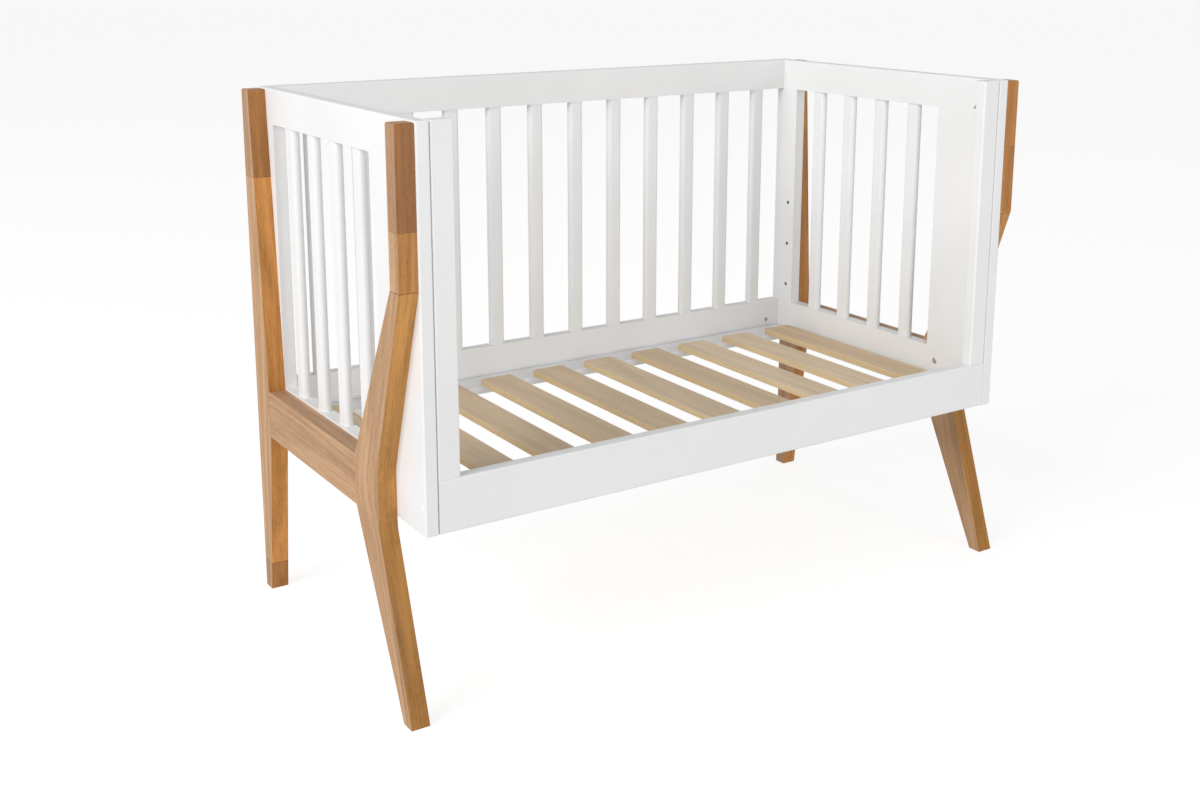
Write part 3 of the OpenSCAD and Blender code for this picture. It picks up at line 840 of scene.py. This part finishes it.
def bolt_rings(length, washer=False):
    """A pan-head bolt with a hexagon socket, from its head's face along its shank."""
    shank = 3.0
    head = 5.5
    face = -4.0
    socket = hexagon(2.0)
    plain = length * 0.35
    under = [(0.0, 8.8), (0.2, 9.0), (1.4, 9.0), (1.6, 8.8), (1.6, shank)] if washer else []
    return [
        (face + 2.6, 0), (face + 2.4, socket), (face, socket), (face, head - 1.3),
        (face + 0.25, head - 0.6), (face + 0.9, head), (-0.2, head), (0.0, head - 0.2),
        *under,
        (plain, shank),
        *thread_rings(plain + 0.2, length - 0.8, shank, *machine_thread()),
        (length, shank - 0.9), (length, 0),
    ]


def stud_rings(length):
    """A stud with a thread at both ends."""
    shank = 3.0
    thread = machine_thread()
    return [
        (0.0, 0), (0.0, shank - 0.8),
        *thread_rings(0.6, 20, shank, *thread),
        (20.6, shank), (length - 22, shank),
        *thread_rings(length - 21, length - 0.6, shank, *thread),
        (length, shank - 0.8), (length, 0),
    ]


def screw_rings(tip):
    """A wood screw with a cross recess, from under its head to its tip."""
    shank = 1.75
    return [
        (-0.8, 0), (-0.9, cross_recess(0.9, 0.4)), (-1.9, cross_recess(1.7, 0.6)),
        (-2.0, 2.1), (-1.8, 2.9), (-1.2, 3.4), (-0.6, 3.5), (0.0, 3.4), (0.0, shank), (4.5, shank - 0.3),
        *thread_rings(4.8, tip - 3.5, shank, 1.6, 0.55, 3),
        (tip - 1.5, 0.7), (tip, 0),
    ]


def dowel_rings(length):
    """A fluted dowel centred on the origin, chamfered at both ends."""
    half = length / 2
    side = flutes(4, 0.28, 8)
    end = flutes(3.2, 0.1, 8)
    return [(-half, 0), (-half, end), (-half + 1.2, side), (half - 1.2, side), (half, end), (half, 0)]


CAP_RINGS = [
    (-4.0, 0), (-4.0, 4.6), (-3.6, 5.0), (-1.4, 5.2), (-1.3, 6.05), (-0.9, 6.2), (-0.7, 6.1), (-0.6, 5.5),
    (-0.75, 5.2), (-0.55, 4.9), (-0.35, 3.6), (-0.15, 2.2), (-0.05, 1.0), (-0.02, 0),
]
CATCH_RINGS = [
    (-12, 0), (-12, 1.2), *thread_rings(-10.5, -1.0, 2.45, 1.5, 0.5), (0.0, 2.4), (0.0, 6.4), (0.2, 6.5),
    (1.1, 6.5), (1.6, 6.2), (1.95, 5.5), (2.0, 4.5), (2.0, 2.6), (2.5, 2.1), (7.6, 2.1), (8.0, 2.5),
    (9.2, 2.5), (9.8, 2.1), (10.0, 1.3), (10.0, 0),
]


# A barrel nut's radius, half its length, its bore's radius and its slots' sides
NUT_RADIUS = 5
NUT_HALF = 7
NUT_BORE = 3.05
NUT_SLOT = (13, 1.2, 2.4, 1)


def barrel_nut_mesh():
    """A barrel nut along Z, with its cross bore along X and a slot in each end."""
    half = NUT_HALF
    rings = [(-half, 0), (-half, NUT_RADIUS - 0.5), (-half + 0.5, NUT_RADIUS)]
    rings += [(half - 0.5, NUT_RADIUS), (half, NUT_RADIUS - 0.5), (half, 0)]
    reach = 2 * NUT_RADIUS
    nut = new_piece("barrel_nut", spin_mesh("barrel_nut", rings, 32))
    bore = spin_mesh("bore", [(-reach, 0), (-reach, NUT_BORE), (reach, NUT_BORE), (reach, 0)], 24)
    bore.transform(Matrix.Rotation(math.pi / 2, 4, "Y"))
    slots = bpy.data.meshes.new("slots")
    with edited(slots) as bm:
        for end in (-half, half):
            place = Matrix.Translation((0, 0, end * MM))
            bmesh.ops.create_cube(bm, size=MM, matrix=place @ Matrix.Diagonal(NUT_SLOT))
    for cutter_mesh in (bore, slots):
        cutter = new_piece("cutter", cutter_mesh)
        cut = nut.modifiers.new(cutter_mesh.name, "BOOLEAN")
        cut.operation = "DIFFERENCE"
        cut.object = cutter
        cut.solver = "EXACT"
        settle(nut)
        bpy.data.objects.remove(cutter)
    mesh = nut.data
    bpy.data.objects.remove(nut)
    return mesh


# ---- Geometry node trees ----

def join_parts(tree, *parts):
    """Joins geometry wires."""
    node = add(tree, "GeometryNodeJoinGeometry")
    for part in parts:
        tree.links.new(part.socket, node.inputs[0])
    return Wire(tree, node.outputs[0])


def plain_result(tree, geometry, material):
    """The real geometry of instances, with its material."""
    real = wire(tree, "GeometryNodeRealizeInstances", {"Geometry": geometry})
    return {"Geometry": wire(tree, "GeometryNodeSetMaterial", {"Geometry": real, "Material": material})}


@node_group("Row of milled boards", "GeometryNodeTree", {
    "Material": "Material", "Count": 12, "Pitch": 0.1, "Middle": "Vector", "Turn": 0.0, "Width": 0.033,
    "Depth": 0.016, "Height": 0.4, "Corner Radius": 0.008, "Corner Points": 9,
    "Tenon Radius": 0.0, "Tenon Length": 0.0,
}, {"Geometry": "Geometry"})
def row_tree(tree, given):
    """A row of upright boards with rounded corners, and with a round tenon at both ends where asked for."""
    outline = wire(tree, "GeometryNodeCurvePrimitiveQuadrilateral", {
        "Width": given["Width"], "Height": given["Depth"],
    })
    corners = wire(tree, "GeometryNodeFilletCurve", {
        "Curve": outline, "Radius": given["Corner Radius"], "Count": given["Corner Points"],
        "Limit Radius": True,
    }, mode="POLY")
    flat = wire(tree, "GeometryNodeFillCurve", {"Curve": corners}, mode="NGONS")
    rise = vector(tree, z=given["Height"])
    raised = wire(tree, "GeometryNodeExtrudeMesh", {
        "Mesh": flat, "Offset": rise, "Individual": False,
    }, "Mesh")
    under = wire(tree, "GeometryNodeFlipFaces", {"Mesh": flat})
    board = wire(tree, "GeometryNodeMergeByDistance", {
        "Geometry": join_parts(tree, raised, under), "Distance": 1e-6,
    })
    tenon = wire(tree, "GeometryNodeMeshCylinder", {
        "Vertices": 20, "Radius": given["Tenon Radius"], "Depth": given["Tenon Length"],
    }, "Mesh")
    half = given["Tenon Length"] * 0.5
    tenons = join_parts(tree, *(
        wire(tree, "GeometryNodeTransform", {"Geometry": tenon, "Translation": vector(tree, z=height)})
        for height in (half * -1.0, given["Height"] + half)
    ))
    wanted = given["Tenon Length"].calc("GREATER_THAN", 0.0)
    chosen = wire(tree, "GeometryNodeSwitch", {0: wanted, "True": tenons}, input_type="GEOMETRY")
    first = (given["Count"] - 1.0) * given["Pitch"] * -0.5
    line = wire(tree, "GeometryNodeMeshLine", {
        "Count": given["Count"], "Start Location": vector(tree, first),
        "Offset": vector(tree, given["Pitch"]),
    })
    placed = wire(tree, "GeometryNodeInstanceOnPoints", {
        "Points": line, "Instance": join_parts(tree, board, chosen),
    })
    set_down = wire(tree, "GeometryNodeTransform", {
        "Geometry": placed, "Translation": given["Middle"], "Rotation": vector(tree, z=given["Turn"]),
    })
    return plain_result(tree, set_down, given["Material"])


@node_group("Fittings on points", "GeometryNodeTree", {
    "Geometry": "Geometry", "Material": "Material", "Fitting": "Object", "Turn Range": math.tau, "Seed": 0,
}, {"Geometry": "Geometry"})
def fitting_tree(tree, given):
    """The same fitting on every point, aimed along the point's own direction and turned by chance."""
    shape = wire(tree, "GeometryNodeObjectInfo", {"Object": given["Fitting"]}, "Geometry")
    aim = wire(tree, "GeometryNodeInputNamedAttribute", {"Name": "aim"}, data_type="FLOAT_VECTOR")
    aimed = wire(tree, "FunctionNodeAlignRotationToVector", {"Vector": aim}, axis="Z")
    chance = wire(tree, "FunctionNodeRandomValue", {"Seed": given["Seed"]}, 1, data_type="FLOAT")
    turn = vector(tree, z=chance * given["Turn Range"])
    spin = wire(tree, "FunctionNodeEulerToRotation", {0: turn})
    rotation = wire(tree, "FunctionNodeRotateRotation", {0: aimed, 1: spin}, rotation_space="LOCAL")
    placed = wire(tree, "GeometryNodeInstanceOnPoints", {
        "Points": given["Geometry"], "Instance": shape, "Rotation": rotation,
    })
    return plain_result(tree, placed, given["Material"])


def run_tree(piece, tree, values):
    """Runs a geometry node tree on an object with these inputs and keeps the plain mesh."""
    modifier = piece.modifiers.new(tree.name, "NODES")
    modifier.node_group = tree
    for item in tree.interface.items_tree:
        if item.item_type == "SOCKET" and item.in_out == "INPUT" and item.name in values:
            modifier[item.identifier] = values[item.name]
    clean_normals(settle(piece))


def board_row(name, values):
    """A row of boards from the row tree, as a plain mesh."""
    piece = new_piece(name, bpy.data.meshes.new(name))
    run_tree(piece, row_tree(), values)
    return piece


def place_fitting(shape_mesh, spots, values):
    """The same fitting at each (place, direction), as one plain mesh."""
    mesh = bpy.data.meshes.new(shape_mesh.name + "s")
    mesh.from_pydata([at for at, way in spots], [], [])
    aims = [part for at, way in spots for part in way]
    mesh.attributes.new("aim", "FLOAT_VECTOR", "POINT").data.foreach_set("vector", aims)
    piece = new_piece(mesh.name, mesh)
    shape = new_piece(shape_mesh.name, shape_mesh)
    run_tree(piece, fitting_tree(), {"Fitting": shape, **values})
    bpy.data.objects.remove(shape)
    aim = piece.data.attributes.get("aim")
    if aim:
        piece.data.attributes.remove(aim)
    crease(piece.data)
    return piece


def add_fittings(name, kinds, node, slot="zinc_steel", body="frame", material=None, turn=math.tau):
    """One piece from each kind's shape on its spots, in the place of a CAD node."""
    settings = bpy.context.scene.crib_fittings
    material = material or zinc_material("Zinc-plated steel", settings)
    values = {"Material": material, "Turn Range": turn, "Seed": settings.spin_seed}
    mesh = bpy.data.meshes.new(name)
    with edited(mesh) as bm:
        for shape_mesh, spots in kinds:
            part = place_fitting(shape_mesh, spots, values)
            bm.from_mesh(part.data)
            bpy.data.objects.remove(part)
    mesh.materials.append(material)
    mesh.set_sharp_from_angle(angle=CREASE_ANGLE)
    hand_over(new_piece(name, mesh), body, slot, node)


def both_ends(places, way=(1, 0, 0)):
    """Spots at the right end, and their mirror images at the left."""
    spots = []
    for x, y, z in places:
        spots.append(((x, y, z), way))
        spots.append(((-x, y, z), (-way[0], way[1], way[2])))
    return spots


# ---- Operators ----

class CRIB_OT_end_panels(Operator):
    """Build the rails and stiles of the two end panels"""
    bl_idname = "crib.end_panels"
    bl_label = "End Panels"

    def execute(self, context):
        top = (2, OPENING_HIGH)
        front = (1, STILE_FRONT_Y)
        rear = (1, STILE_REAR_Y)
        for side in SIDES:
            painted_board(f"{side}_end_top_rail", "y", [top])
            painted_board(f"{side}_end_bottom_rail", "y", [front, rear])
            painted_board(f"{side}_end_front_stile", "z", [front, top])
            painted_board(f"{side}_end_rear_stile", "z", [rear, top])
        return {"FINISHED"}


class CRIB_OT_bars(Operator):
    """Build the rows of bars in the rear panel and in both end panels"""
    bl_idname = "crib.bars"
    bl_label = "Bars"

    def execute(self, context):
        settings = context.scene.crib_bars
        depth = BAR_HIGH.y - BAR_LOW.y
        values = {
            "Material": paint_material("Satin white paint, grain along Z", context.scene.crib_paint, "z"),
            "Width": BAR_HIGH.x - BAR_LOW.x, "Depth": depth, "Height": OPENING_HIGH - OPENING_LOW,
            "Corner Radius": depth * 0.4995, "Corner Points": settings.edge_points,
            "Tenon Radius": TENON_RADIUS, "Tenon Length": TENON_LENGTH,
        }
        rows = {"rear_bars": ({
            "Count": settings.rear_count, "Pitch": settings.rear_pitch,
            "Middle": (0.0, REAR_MID_Y, OPENING_LOW),
        }, [f"rear_bar_{i + 1}" for i in range(REAR_BAR_NODES)])}
        for side, sign in SIDES.items():
            rows[f"{side}_end_bars"] = ({
                "Count": END_BAR_COUNT, "Pitch": END_BAR_PITCH, "Turn": math.pi / 2,
                "Middle": (sign * PANEL_MID_X, END_BAR_MIDDLE_Y, OPENING_LOW),
            }, [f"{side}_end_bars"])
        for name, (places, nodes) in rows.items():
            row = board_row(name + "_painted", {**values, **places})
            smooth_flat(row)
            hand_over(row, "frame", "painted_wood", *nodes)
        return {"FINISHED"}


class CRIB_OT_long_frames(Operator):
    """Build the rear panel's rails, and the front rail with the two stiles beside the entry"""
    bl_idname = "crib.long_frames"
    bl_label = "Rear Rails And Front Frame"

    def execute(self, context):
        for node in ("rear_top_rail", "rear_bottom_rail"):
            painted_board(node, "x", [(0, -PANEL_IN), (0, PANEL_IN)])
        painted_board("front_rail", "x", [])
        for side in SIDES:
            painted_board(f"entry_{side}_stile", "z", [(2, FRONT_RAIL_HIGH.z)])
        return {"FINISHED"}


class CRIB_OT_leg_frames(Operator):
    """Build the oiled legs and the cross rails between them"""
    bl_idname = "crib.leg_frames"
    bl_label = "Leg Frames"

    def execute(self, context):
        settings = context.scene.crib_oil
        seams = [(2, MITRE_Z), (2, REAR_BLOCK_Z), (1, CROSS_LOW.y), (1, CROSS_HIGH.y)]
        jobs = []
        for leg, values in LEG_WOOD.items():
            name = f"Oiled wood, {leg.replace('_', ' ')} leg"
            follow = float(leg.startswith("front"))
            material = leg_material(name, settings, values, "z", follow)
            jobs += [(f"{leg}_leg_{half}", material) for half in ("upper", "lower")]
        for side, values in CROSS_WOOD.items():
            name = f"Oiled wood, {side} cross rail"
            jobs.append((f"{side}_cross_rail", leg_material(name, settings, values, "y", 0.0)))
        for node, material in jobs:
            piece = eased_board(node, "oiled", material, settings, seams)
            hand_over(piece, "frame", "oiled_wood", node)
        return {"FINISHED"}


class CRIB_OT_base_frame(Operator):
    """Build the painted frame of the mattress base"""
    bl_idname = "crib.base_frame"
    bl_label = "Base Frame"

    def execute(self, context):
        joint = [(0, -BASE_END_LOW.x), (0, BASE_END_LOW.x)]
        for place, along in (("front", "x"), ("rear", "x"), ("left", "y"), ("right", "y")):
            painted_board(f"base_{place}_rail", along, joint, "mattress_base")
        return {"FINISHED"}


class CRIB_OT_slats(Operator):
    """Build the row of slats on the mattress base"""
    bl_idname = "crib.slats"
    bl_label = "Slats"

    def execute(self, context):
        settings = context.scene.crib_base
        material = slat_material("Planed slat wood", settings)
        width, depth, height = SLAT_HIGH - SLAT_LOW
        row = board_row("slats_planed", {
            "Material": material, "Count": settings.slat_count, "Pitch": settings.slat_pitch,
            "Middle": (0.0, 0.0, SLAT_LOW.z), "Width": width, "Depth": depth, "Height": height,
            "Corner Radius": settings.slat_corner, "Corner Points": 6,
        })
        ease_edges(row, material, settings.slat_ease, lambda edge: 1.0, 3)
        nodes = [f"slat_{i + 1}" for i in range(SLAT_NODES)]
        hand_over(row, "mattress_base", "slat_wood", *nodes)
        return {"FINISHED"}


class CRIB_OT_inserts(Operator):
    """Build the threaded inserts in the stiles and in the leg frames"""
    bl_idname = "crib.inserts"
    bl_label = "Threaded Inserts"

    def execute(self, context):
        level = [(PANEL_IN + 0.5 * MM, y, z) for y in LEVEL_YS for z in LEVEL_HEIGHTS]
        leg = [(PANEL_OUT + 0.5 * MM, y, z) for y, z in (*((y, STUD_Z) for y in MID_YS), *KNEE_BOLTS)]
        kinds = [
            (spin_mesh("level_insert", insert_rings(13), 20), both_ends(level)),
            (spin_mesh("leg_insert", insert_rings(INTO_LEG), 20), both_ends(leg)),
        ]
        add_fittings("threaded_inserts_zinc", kinds, "threaded_inserts")
        return {"FINISHED"}


class CRIB_OT_bolts(Operator):
    """Build the level bolts that the base hangs on, the connector bolts and the threaded studs"""
    bl_idname = "crib.bolts"
    bl_label = "Bolts And Studs"

    def execute(self, context):
        level = [(BASE_END_LOW.x - 2 * MM, y, LEVEL_HEIGHTS[0]) for y in LEVEL_YS]
        shape = spin_mesh("level_bolt", bolt_rings(35, washer=True), 24)
        add_fittings("base_bolts_zinc", [(shape, both_ends(level))], "base_bolts")
        corner_length = (CAP_SEAT_X - NUT_X) / MM + PAST_NUT
        knee_length = (PANEL_OUT - PANEL_IN) / MM + 13
        corners = [(CAP_SEAT_X, y, CORNER_BOLT_Z) for y in MID_YS]
        knees = [(PANEL_IN + 4.5 * MM, y, z) for y, z in KNEE_BOLTS]
        kinds = [
            (spin_mesh("corner_bolt", bolt_rings(corner_length), 24), both_ends(corners, (-1, 0, 0))),
            (spin_mesh("knee_bolt", bolt_rings(knee_length), 24), both_ends(knees)),
        ]
        add_fittings("connector_bolts_zinc", kinds, "connector_bolts")
        kinds = []
        for nut_x, y in ((NUT_X, REAR_MID_Y), (ENTRY_MID_X, FRONT_MID_Y)):
            length = (PANEL_OUT - nut_x) / MM + INTO_LEG + PAST_NUT
            shape = spin_mesh("stud", stud_rings(length), 20)
            kinds.append((shape, both_ends([(nut_x - PAST_NUT * MM, y, STUD_Z)])))
        add_fittings("connector_studs_zinc", kinds, "connector_studs")
        return {"FINISHED"}


class CRIB_OT_barrel_nuts(Operator):
    """Build the slotted barrel nuts in the rails and in the entry stiles"""
    bl_idname = "crib.barrel_nuts"
    bl_label = "Barrel Nuts"

    def execute(self, context):
        places = [
            (NUT_X, REAR_MID_Y, CORNER_BOLT_Z),
            (NUT_X, REAR_MID_Y, STUD_Z),
            (NUT_X, FRONT_MID_Y, CORNER_BOLT_Z),
            (ENTRY_MID_X, FRONT_MID_Y, STUD_Z),
        ]
        kinds = [(barrel_nut_mesh(), both_ends(places, (0, -1, 0)))]
        add_fittings("barrel_nuts_zinc", kinds, "barrel_nuts", turn=0.0)
        return {"FINISHED"}


class CRIB_OT_caps(Operator):
    """Build the moulded caps over the corner bolts"""
    bl_idname = "crib.caps"
    bl_label = "Bolt Caps"

    def execute(self, context):
        spots = both_ends([(PANEL_OUT, y, CORNER_BOLT_Z) for y in MID_YS])
        kinds = [(spin_mesh("bolt_cap", CAP_RINGS, 32), spots)]
        plastic = cap_material("Moulded white plastic", context.scene.crib_fittings)
        add_fittings("bolt_caps_moulded", kinds, "bolt_caps", "white_cap", material=plastic)
        return {"FINISHED"}


class CRIB_OT_dowels(Operator):
    """Build the fluted dowels in the joints"""
    bl_idname = "crib.dowels"
    bl_label = "Joint Dowels"

    def execute(self, context):
        leg_x = (FRONT_LEG_LOW.x + FRONT_LEG_HIGH.x) / 2
        upright = [(PANEL_MID_X, y, OPENING_HIGH) for y in (
            -HALF_DEPTH + 34 * MM, STILE_FRONT_Y - 34 * MM, STILE_REAR_Y + 17 * MM, HALF_DEPTH - 17 * MM,
        )]
        upright += [(ENTRY_MID_X + dx * MM, FRONT_MID_Y, FRONT_RAIL_HIGH.z) for dx in (-10, 10)]
        upright.append((leg_x, (FRONT_LEG_LOW.y + FRONT_LEG_HIGH.y) / 2, MITRE_Z))
        upright.append((leg_x, (REAR_LEG_LOW.y + REAR_LEG_HIGH.y) / 2, REAR_BLOCK_Z))
        level = [(PANEL_MID_X, y, z) for y in (STILE_FRONT_Y, STILE_REAR_Y)
                 for z in (BOTTOM_RAIL_LOW.z + 30 * MM, BOTTOM_RAIL_HIGH.z - 30 * MM)]
        level += [(leg_x, y, z) for y in (CROSS_LOW.y, CROSS_HIGH.y)
                  for z in (CROSS_LOW.z + 22 * MM, CROSS_HIGH.z - 22 * MM)]
        kinds = [
            (spin_mesh(label + "_dowel", dowel_rings(DOWEL_LENGTH), 32), both_ends(places, way))
            for label, places, way in (("upright", upright, (0, 0, 1)), ("level", level, (0, 1, 0)))
        ]
        beech = dowel_material("Beech dowel wood")
        add_fittings("joint_dowels_beech", kinds, "joint_dowels", "dowel_wood", material=beech)
        return {"FINISHED"}


class CRIB_OT_slat_screws(Operator):
    """Build the cross-head screws in the slats and in the corners of the mattress base"""
    bl_idname = "crib.slat_screws"
    bl_label = "Slat And Corner Screws"

    def execute(self, context):
        base = context.scene.crib_base
        first = -(base.slat_count - 1) / 2 * base.slat_pitch
        slats = [
            (((first + i * base.slat_pitch) * SLAT_SCREW_SPREAD, y, SLAT_SCREW_Z), (0, 0, 1))
            for i in range(base.slat_count) for y in (-SLAT_SCREW_Y, SLAT_SCREW_Y)
        ]
        corners = [
            ((sign * (BASE_END_HIGH.x - 2 * MM), y, CORNER_SCREW_Z), (-sign, 0, 0))
            for sign in SIDES.values() for y in (-CORNER_SCREW_Y, CORNER_SCREW_Y)
        ]
        kinds = [
            (spin_mesh("slat_screw", screw_rings(22), 24), slats),
            (spin_mesh("corner_screw", screw_rings(36), 24), corners),
        ]
        add_fittings("slat_screws_zinc", kinds, "slat_screws", body="mattress_base")
        return {"FINISHED"}


class CRIB_OT_catches(Operator):
    """Build the small catches that a front gate would hook over"""
    bl_idname = "crib.catches"
    bl_label = "Gate Catches"

    def execute(self, context):
        kinds = [(spin_mesh("gate_catch", CATCH_RINGS, 28), both_ends([CATCH], (-1, 0, 0)))]
        polished = zinc_material("Polished zinc", context.scene.crib_fittings, 0.2)
        add_fittings("gate_catches_zinc", kinds, "gate_catches", material=polished)
        return {"FINISHED"}


class CRIB_OT_stage(Operator):
    """Set up the plain floor, the soft lights and the camera"""
    bl_idname = "crib.stage"
    bl_label = "Stage"

    def execute(self, context):
        settings = context.scene.crib_studio
        self.add_floor(settings)
        self.add_sky(context, settings)
        self.soft_light("Side softbox", *SIDE_SOFTBOX, settings.key_power)
        self.soft_light("Front softbox", *FRONT_SOFTBOX, settings.front_power)
        self.add_camera(context, settings)
        context.scene.view_settings.view_transform = "Standard"
        return {"FINISHED"}

    @staticmethod
    def add_floor(settings):
        """The matt floor, which glows a little, and more where it is seen straight."""
        mesh = bpy.data.meshes.new("studio_floor")
        with edited(mesh) as bm:
            bmesh.ops.create_circle(bm, cap_ends=True, radius=FLOOR_RADIUS, segments=96)
        material, tree, shader, place = new_material("Matt studio floor", settings.floor_color, 0.9)
        tint = place.noise(0.8).spread(0.3, 0.7, 0.995, 1.0)
        fill(tree, shader, {
            "Base Color": tint * tuple(settings.floor_color), "Specular IOR Level": 0.1,
            "Emission Color": WHITE, "Emission Strength": settings.floor_glow * FLOOR_BOUNCE,
        })
        seen = wire(tree, "ShaderNodeLightPath", key="Is Camera Ray")
        extra = settings.floor_glow * (1 - FLOOR_BOUNCE)
        glow = wire(tree, "ShaderNodeEmission", {"Strength": seen * extra})
        both = wire(tree, "ShaderNodeAddShader", {0: Wire(tree, shader.outputs[0]), 1: glow})
        fill(tree, tree.nodes["Material Output"], {"Surface": both})
        mesh.materials.append(material)
        new_piece("studio_floor", mesh)

    @staticmethod
    def add_sky(context, settings):
        """Fill light from all round, strongest at the horizon, before a plain backdrop."""
        world = bpy.data.worlds.new("Studio")
        context.scene.world = world
        world.use_nodes = True
        tree = world.node_tree
        x, y, z = wire(tree, "ShaderNodeTexCoord", key="Generated").axes()
        share = z.spread(0.0, 1.0, 1.0, settings.sky_top) + x.spread(0.0, -1.0, 0.0, settings.sky_left)
        share = share + (x + y).spread(0.0, 1.2, 0.0, settings.sky_behind)
        seen = wire(tree, "ShaderNodeLightPath", key="Is Camera Ray")
        light = seen.mix(share * settings.sky_strength, BACKDROP)
        fill(tree, tree.nodes["Background"], {"Color": WHITE, "Strength": light})

    @staticmethod
    def soft_light(name, place, target, width, height, power):
        """A rectangular softbox aimed at a point."""
        lamp = bpy.data.lights.new(name, "AREA")
        lamp.shape = "RECTANGLE"
        lamp.size = width
        lamp.size_y = height
        lamp.energy = power
        light = new_piece(name, lamp)
        light.location = place
        light.rotation_euler = (Vector(target) - Vector(place)).to_track_quat("-Z", "Y").to_euler()

    @staticmethod
    def add_camera(context, settings):
        """The camera, in front and to the left, a little above the top rails."""
        lens = bpy.data.cameras.new("Camera")
        lens.lens = settings.lens
        lens.sensor_width = 36.0
        lens.shift_y = LENS_SHIFT
        lens.clip_end = 100.0
        camera = new_piece("Camera", lens)
        camera.location = CAMERA_PLACE
        camera.rotation_euler = (math.pi / 2 - CAMERA_DOWN, 0.0, -CAMERA_YAW)
        context.scene.camera = camera


OPERATORS = (
    CRIB_OT_stage,
    CRIB_OT_end_panels,
    CRIB_OT_bars,
    CRIB_OT_long_frames,
    CRIB_OT_leg_frames,
    CRIB_OT_base_frame,
    CRIB_OT_slats,
    CRIB_OT_inserts,
    CRIB_OT_bolts,
    CRIB_OT_barrel_nuts,
    CRIB_OT_caps,
    CRIB_OT_dowels,
    CRIB_OT_slat_screws,
    CRIB_OT_catches,
)


class CRIB_PT_build(Panel):
    """Lists the crib's settings and its pieces"""
    bl_label = "Baby Crib"
    bl_idname = "CRIB_PT_build"
    bl_space_type = "VIEW_3D"
    bl_region_type = "UI"
    bl_category = "Crib"

    def draw(self, context):
        layout = self.layout
        for name, group in SETTINGS.items():
            box = layout.box()
            for key in group.__annotations__:
                box.prop(getattr(context.scene, name), key)
        column = layout.column(align=True)
        for operator in OPERATORS:
            column.operator(operator.bl_idname)


CLASSES = (*SETTINGS.values(), *OPERATORS, CRIB_PT_build)


def register():
    for cls in CLASSES:
        bpy.utils.register_class(cls)
    for name, group in SETTINGS.items():
        setattr(bpy.types.Scene, name, PointerProperty(type=group))


def unregister():
    for name in SETTINGS:
        delattr(bpy.types.Scene, name)
    for cls in reversed(CLASSES):
        bpy.utils.unregister_class(cls)


def main():
    """Builds the crib and its stage."""
    register()
    for operator in OPERATORS:
        family, action = operator.bl_idname.split(".")
        getattr(getattr(bpy.ops, family), action)()


if __name__ == "__main__":
    main()
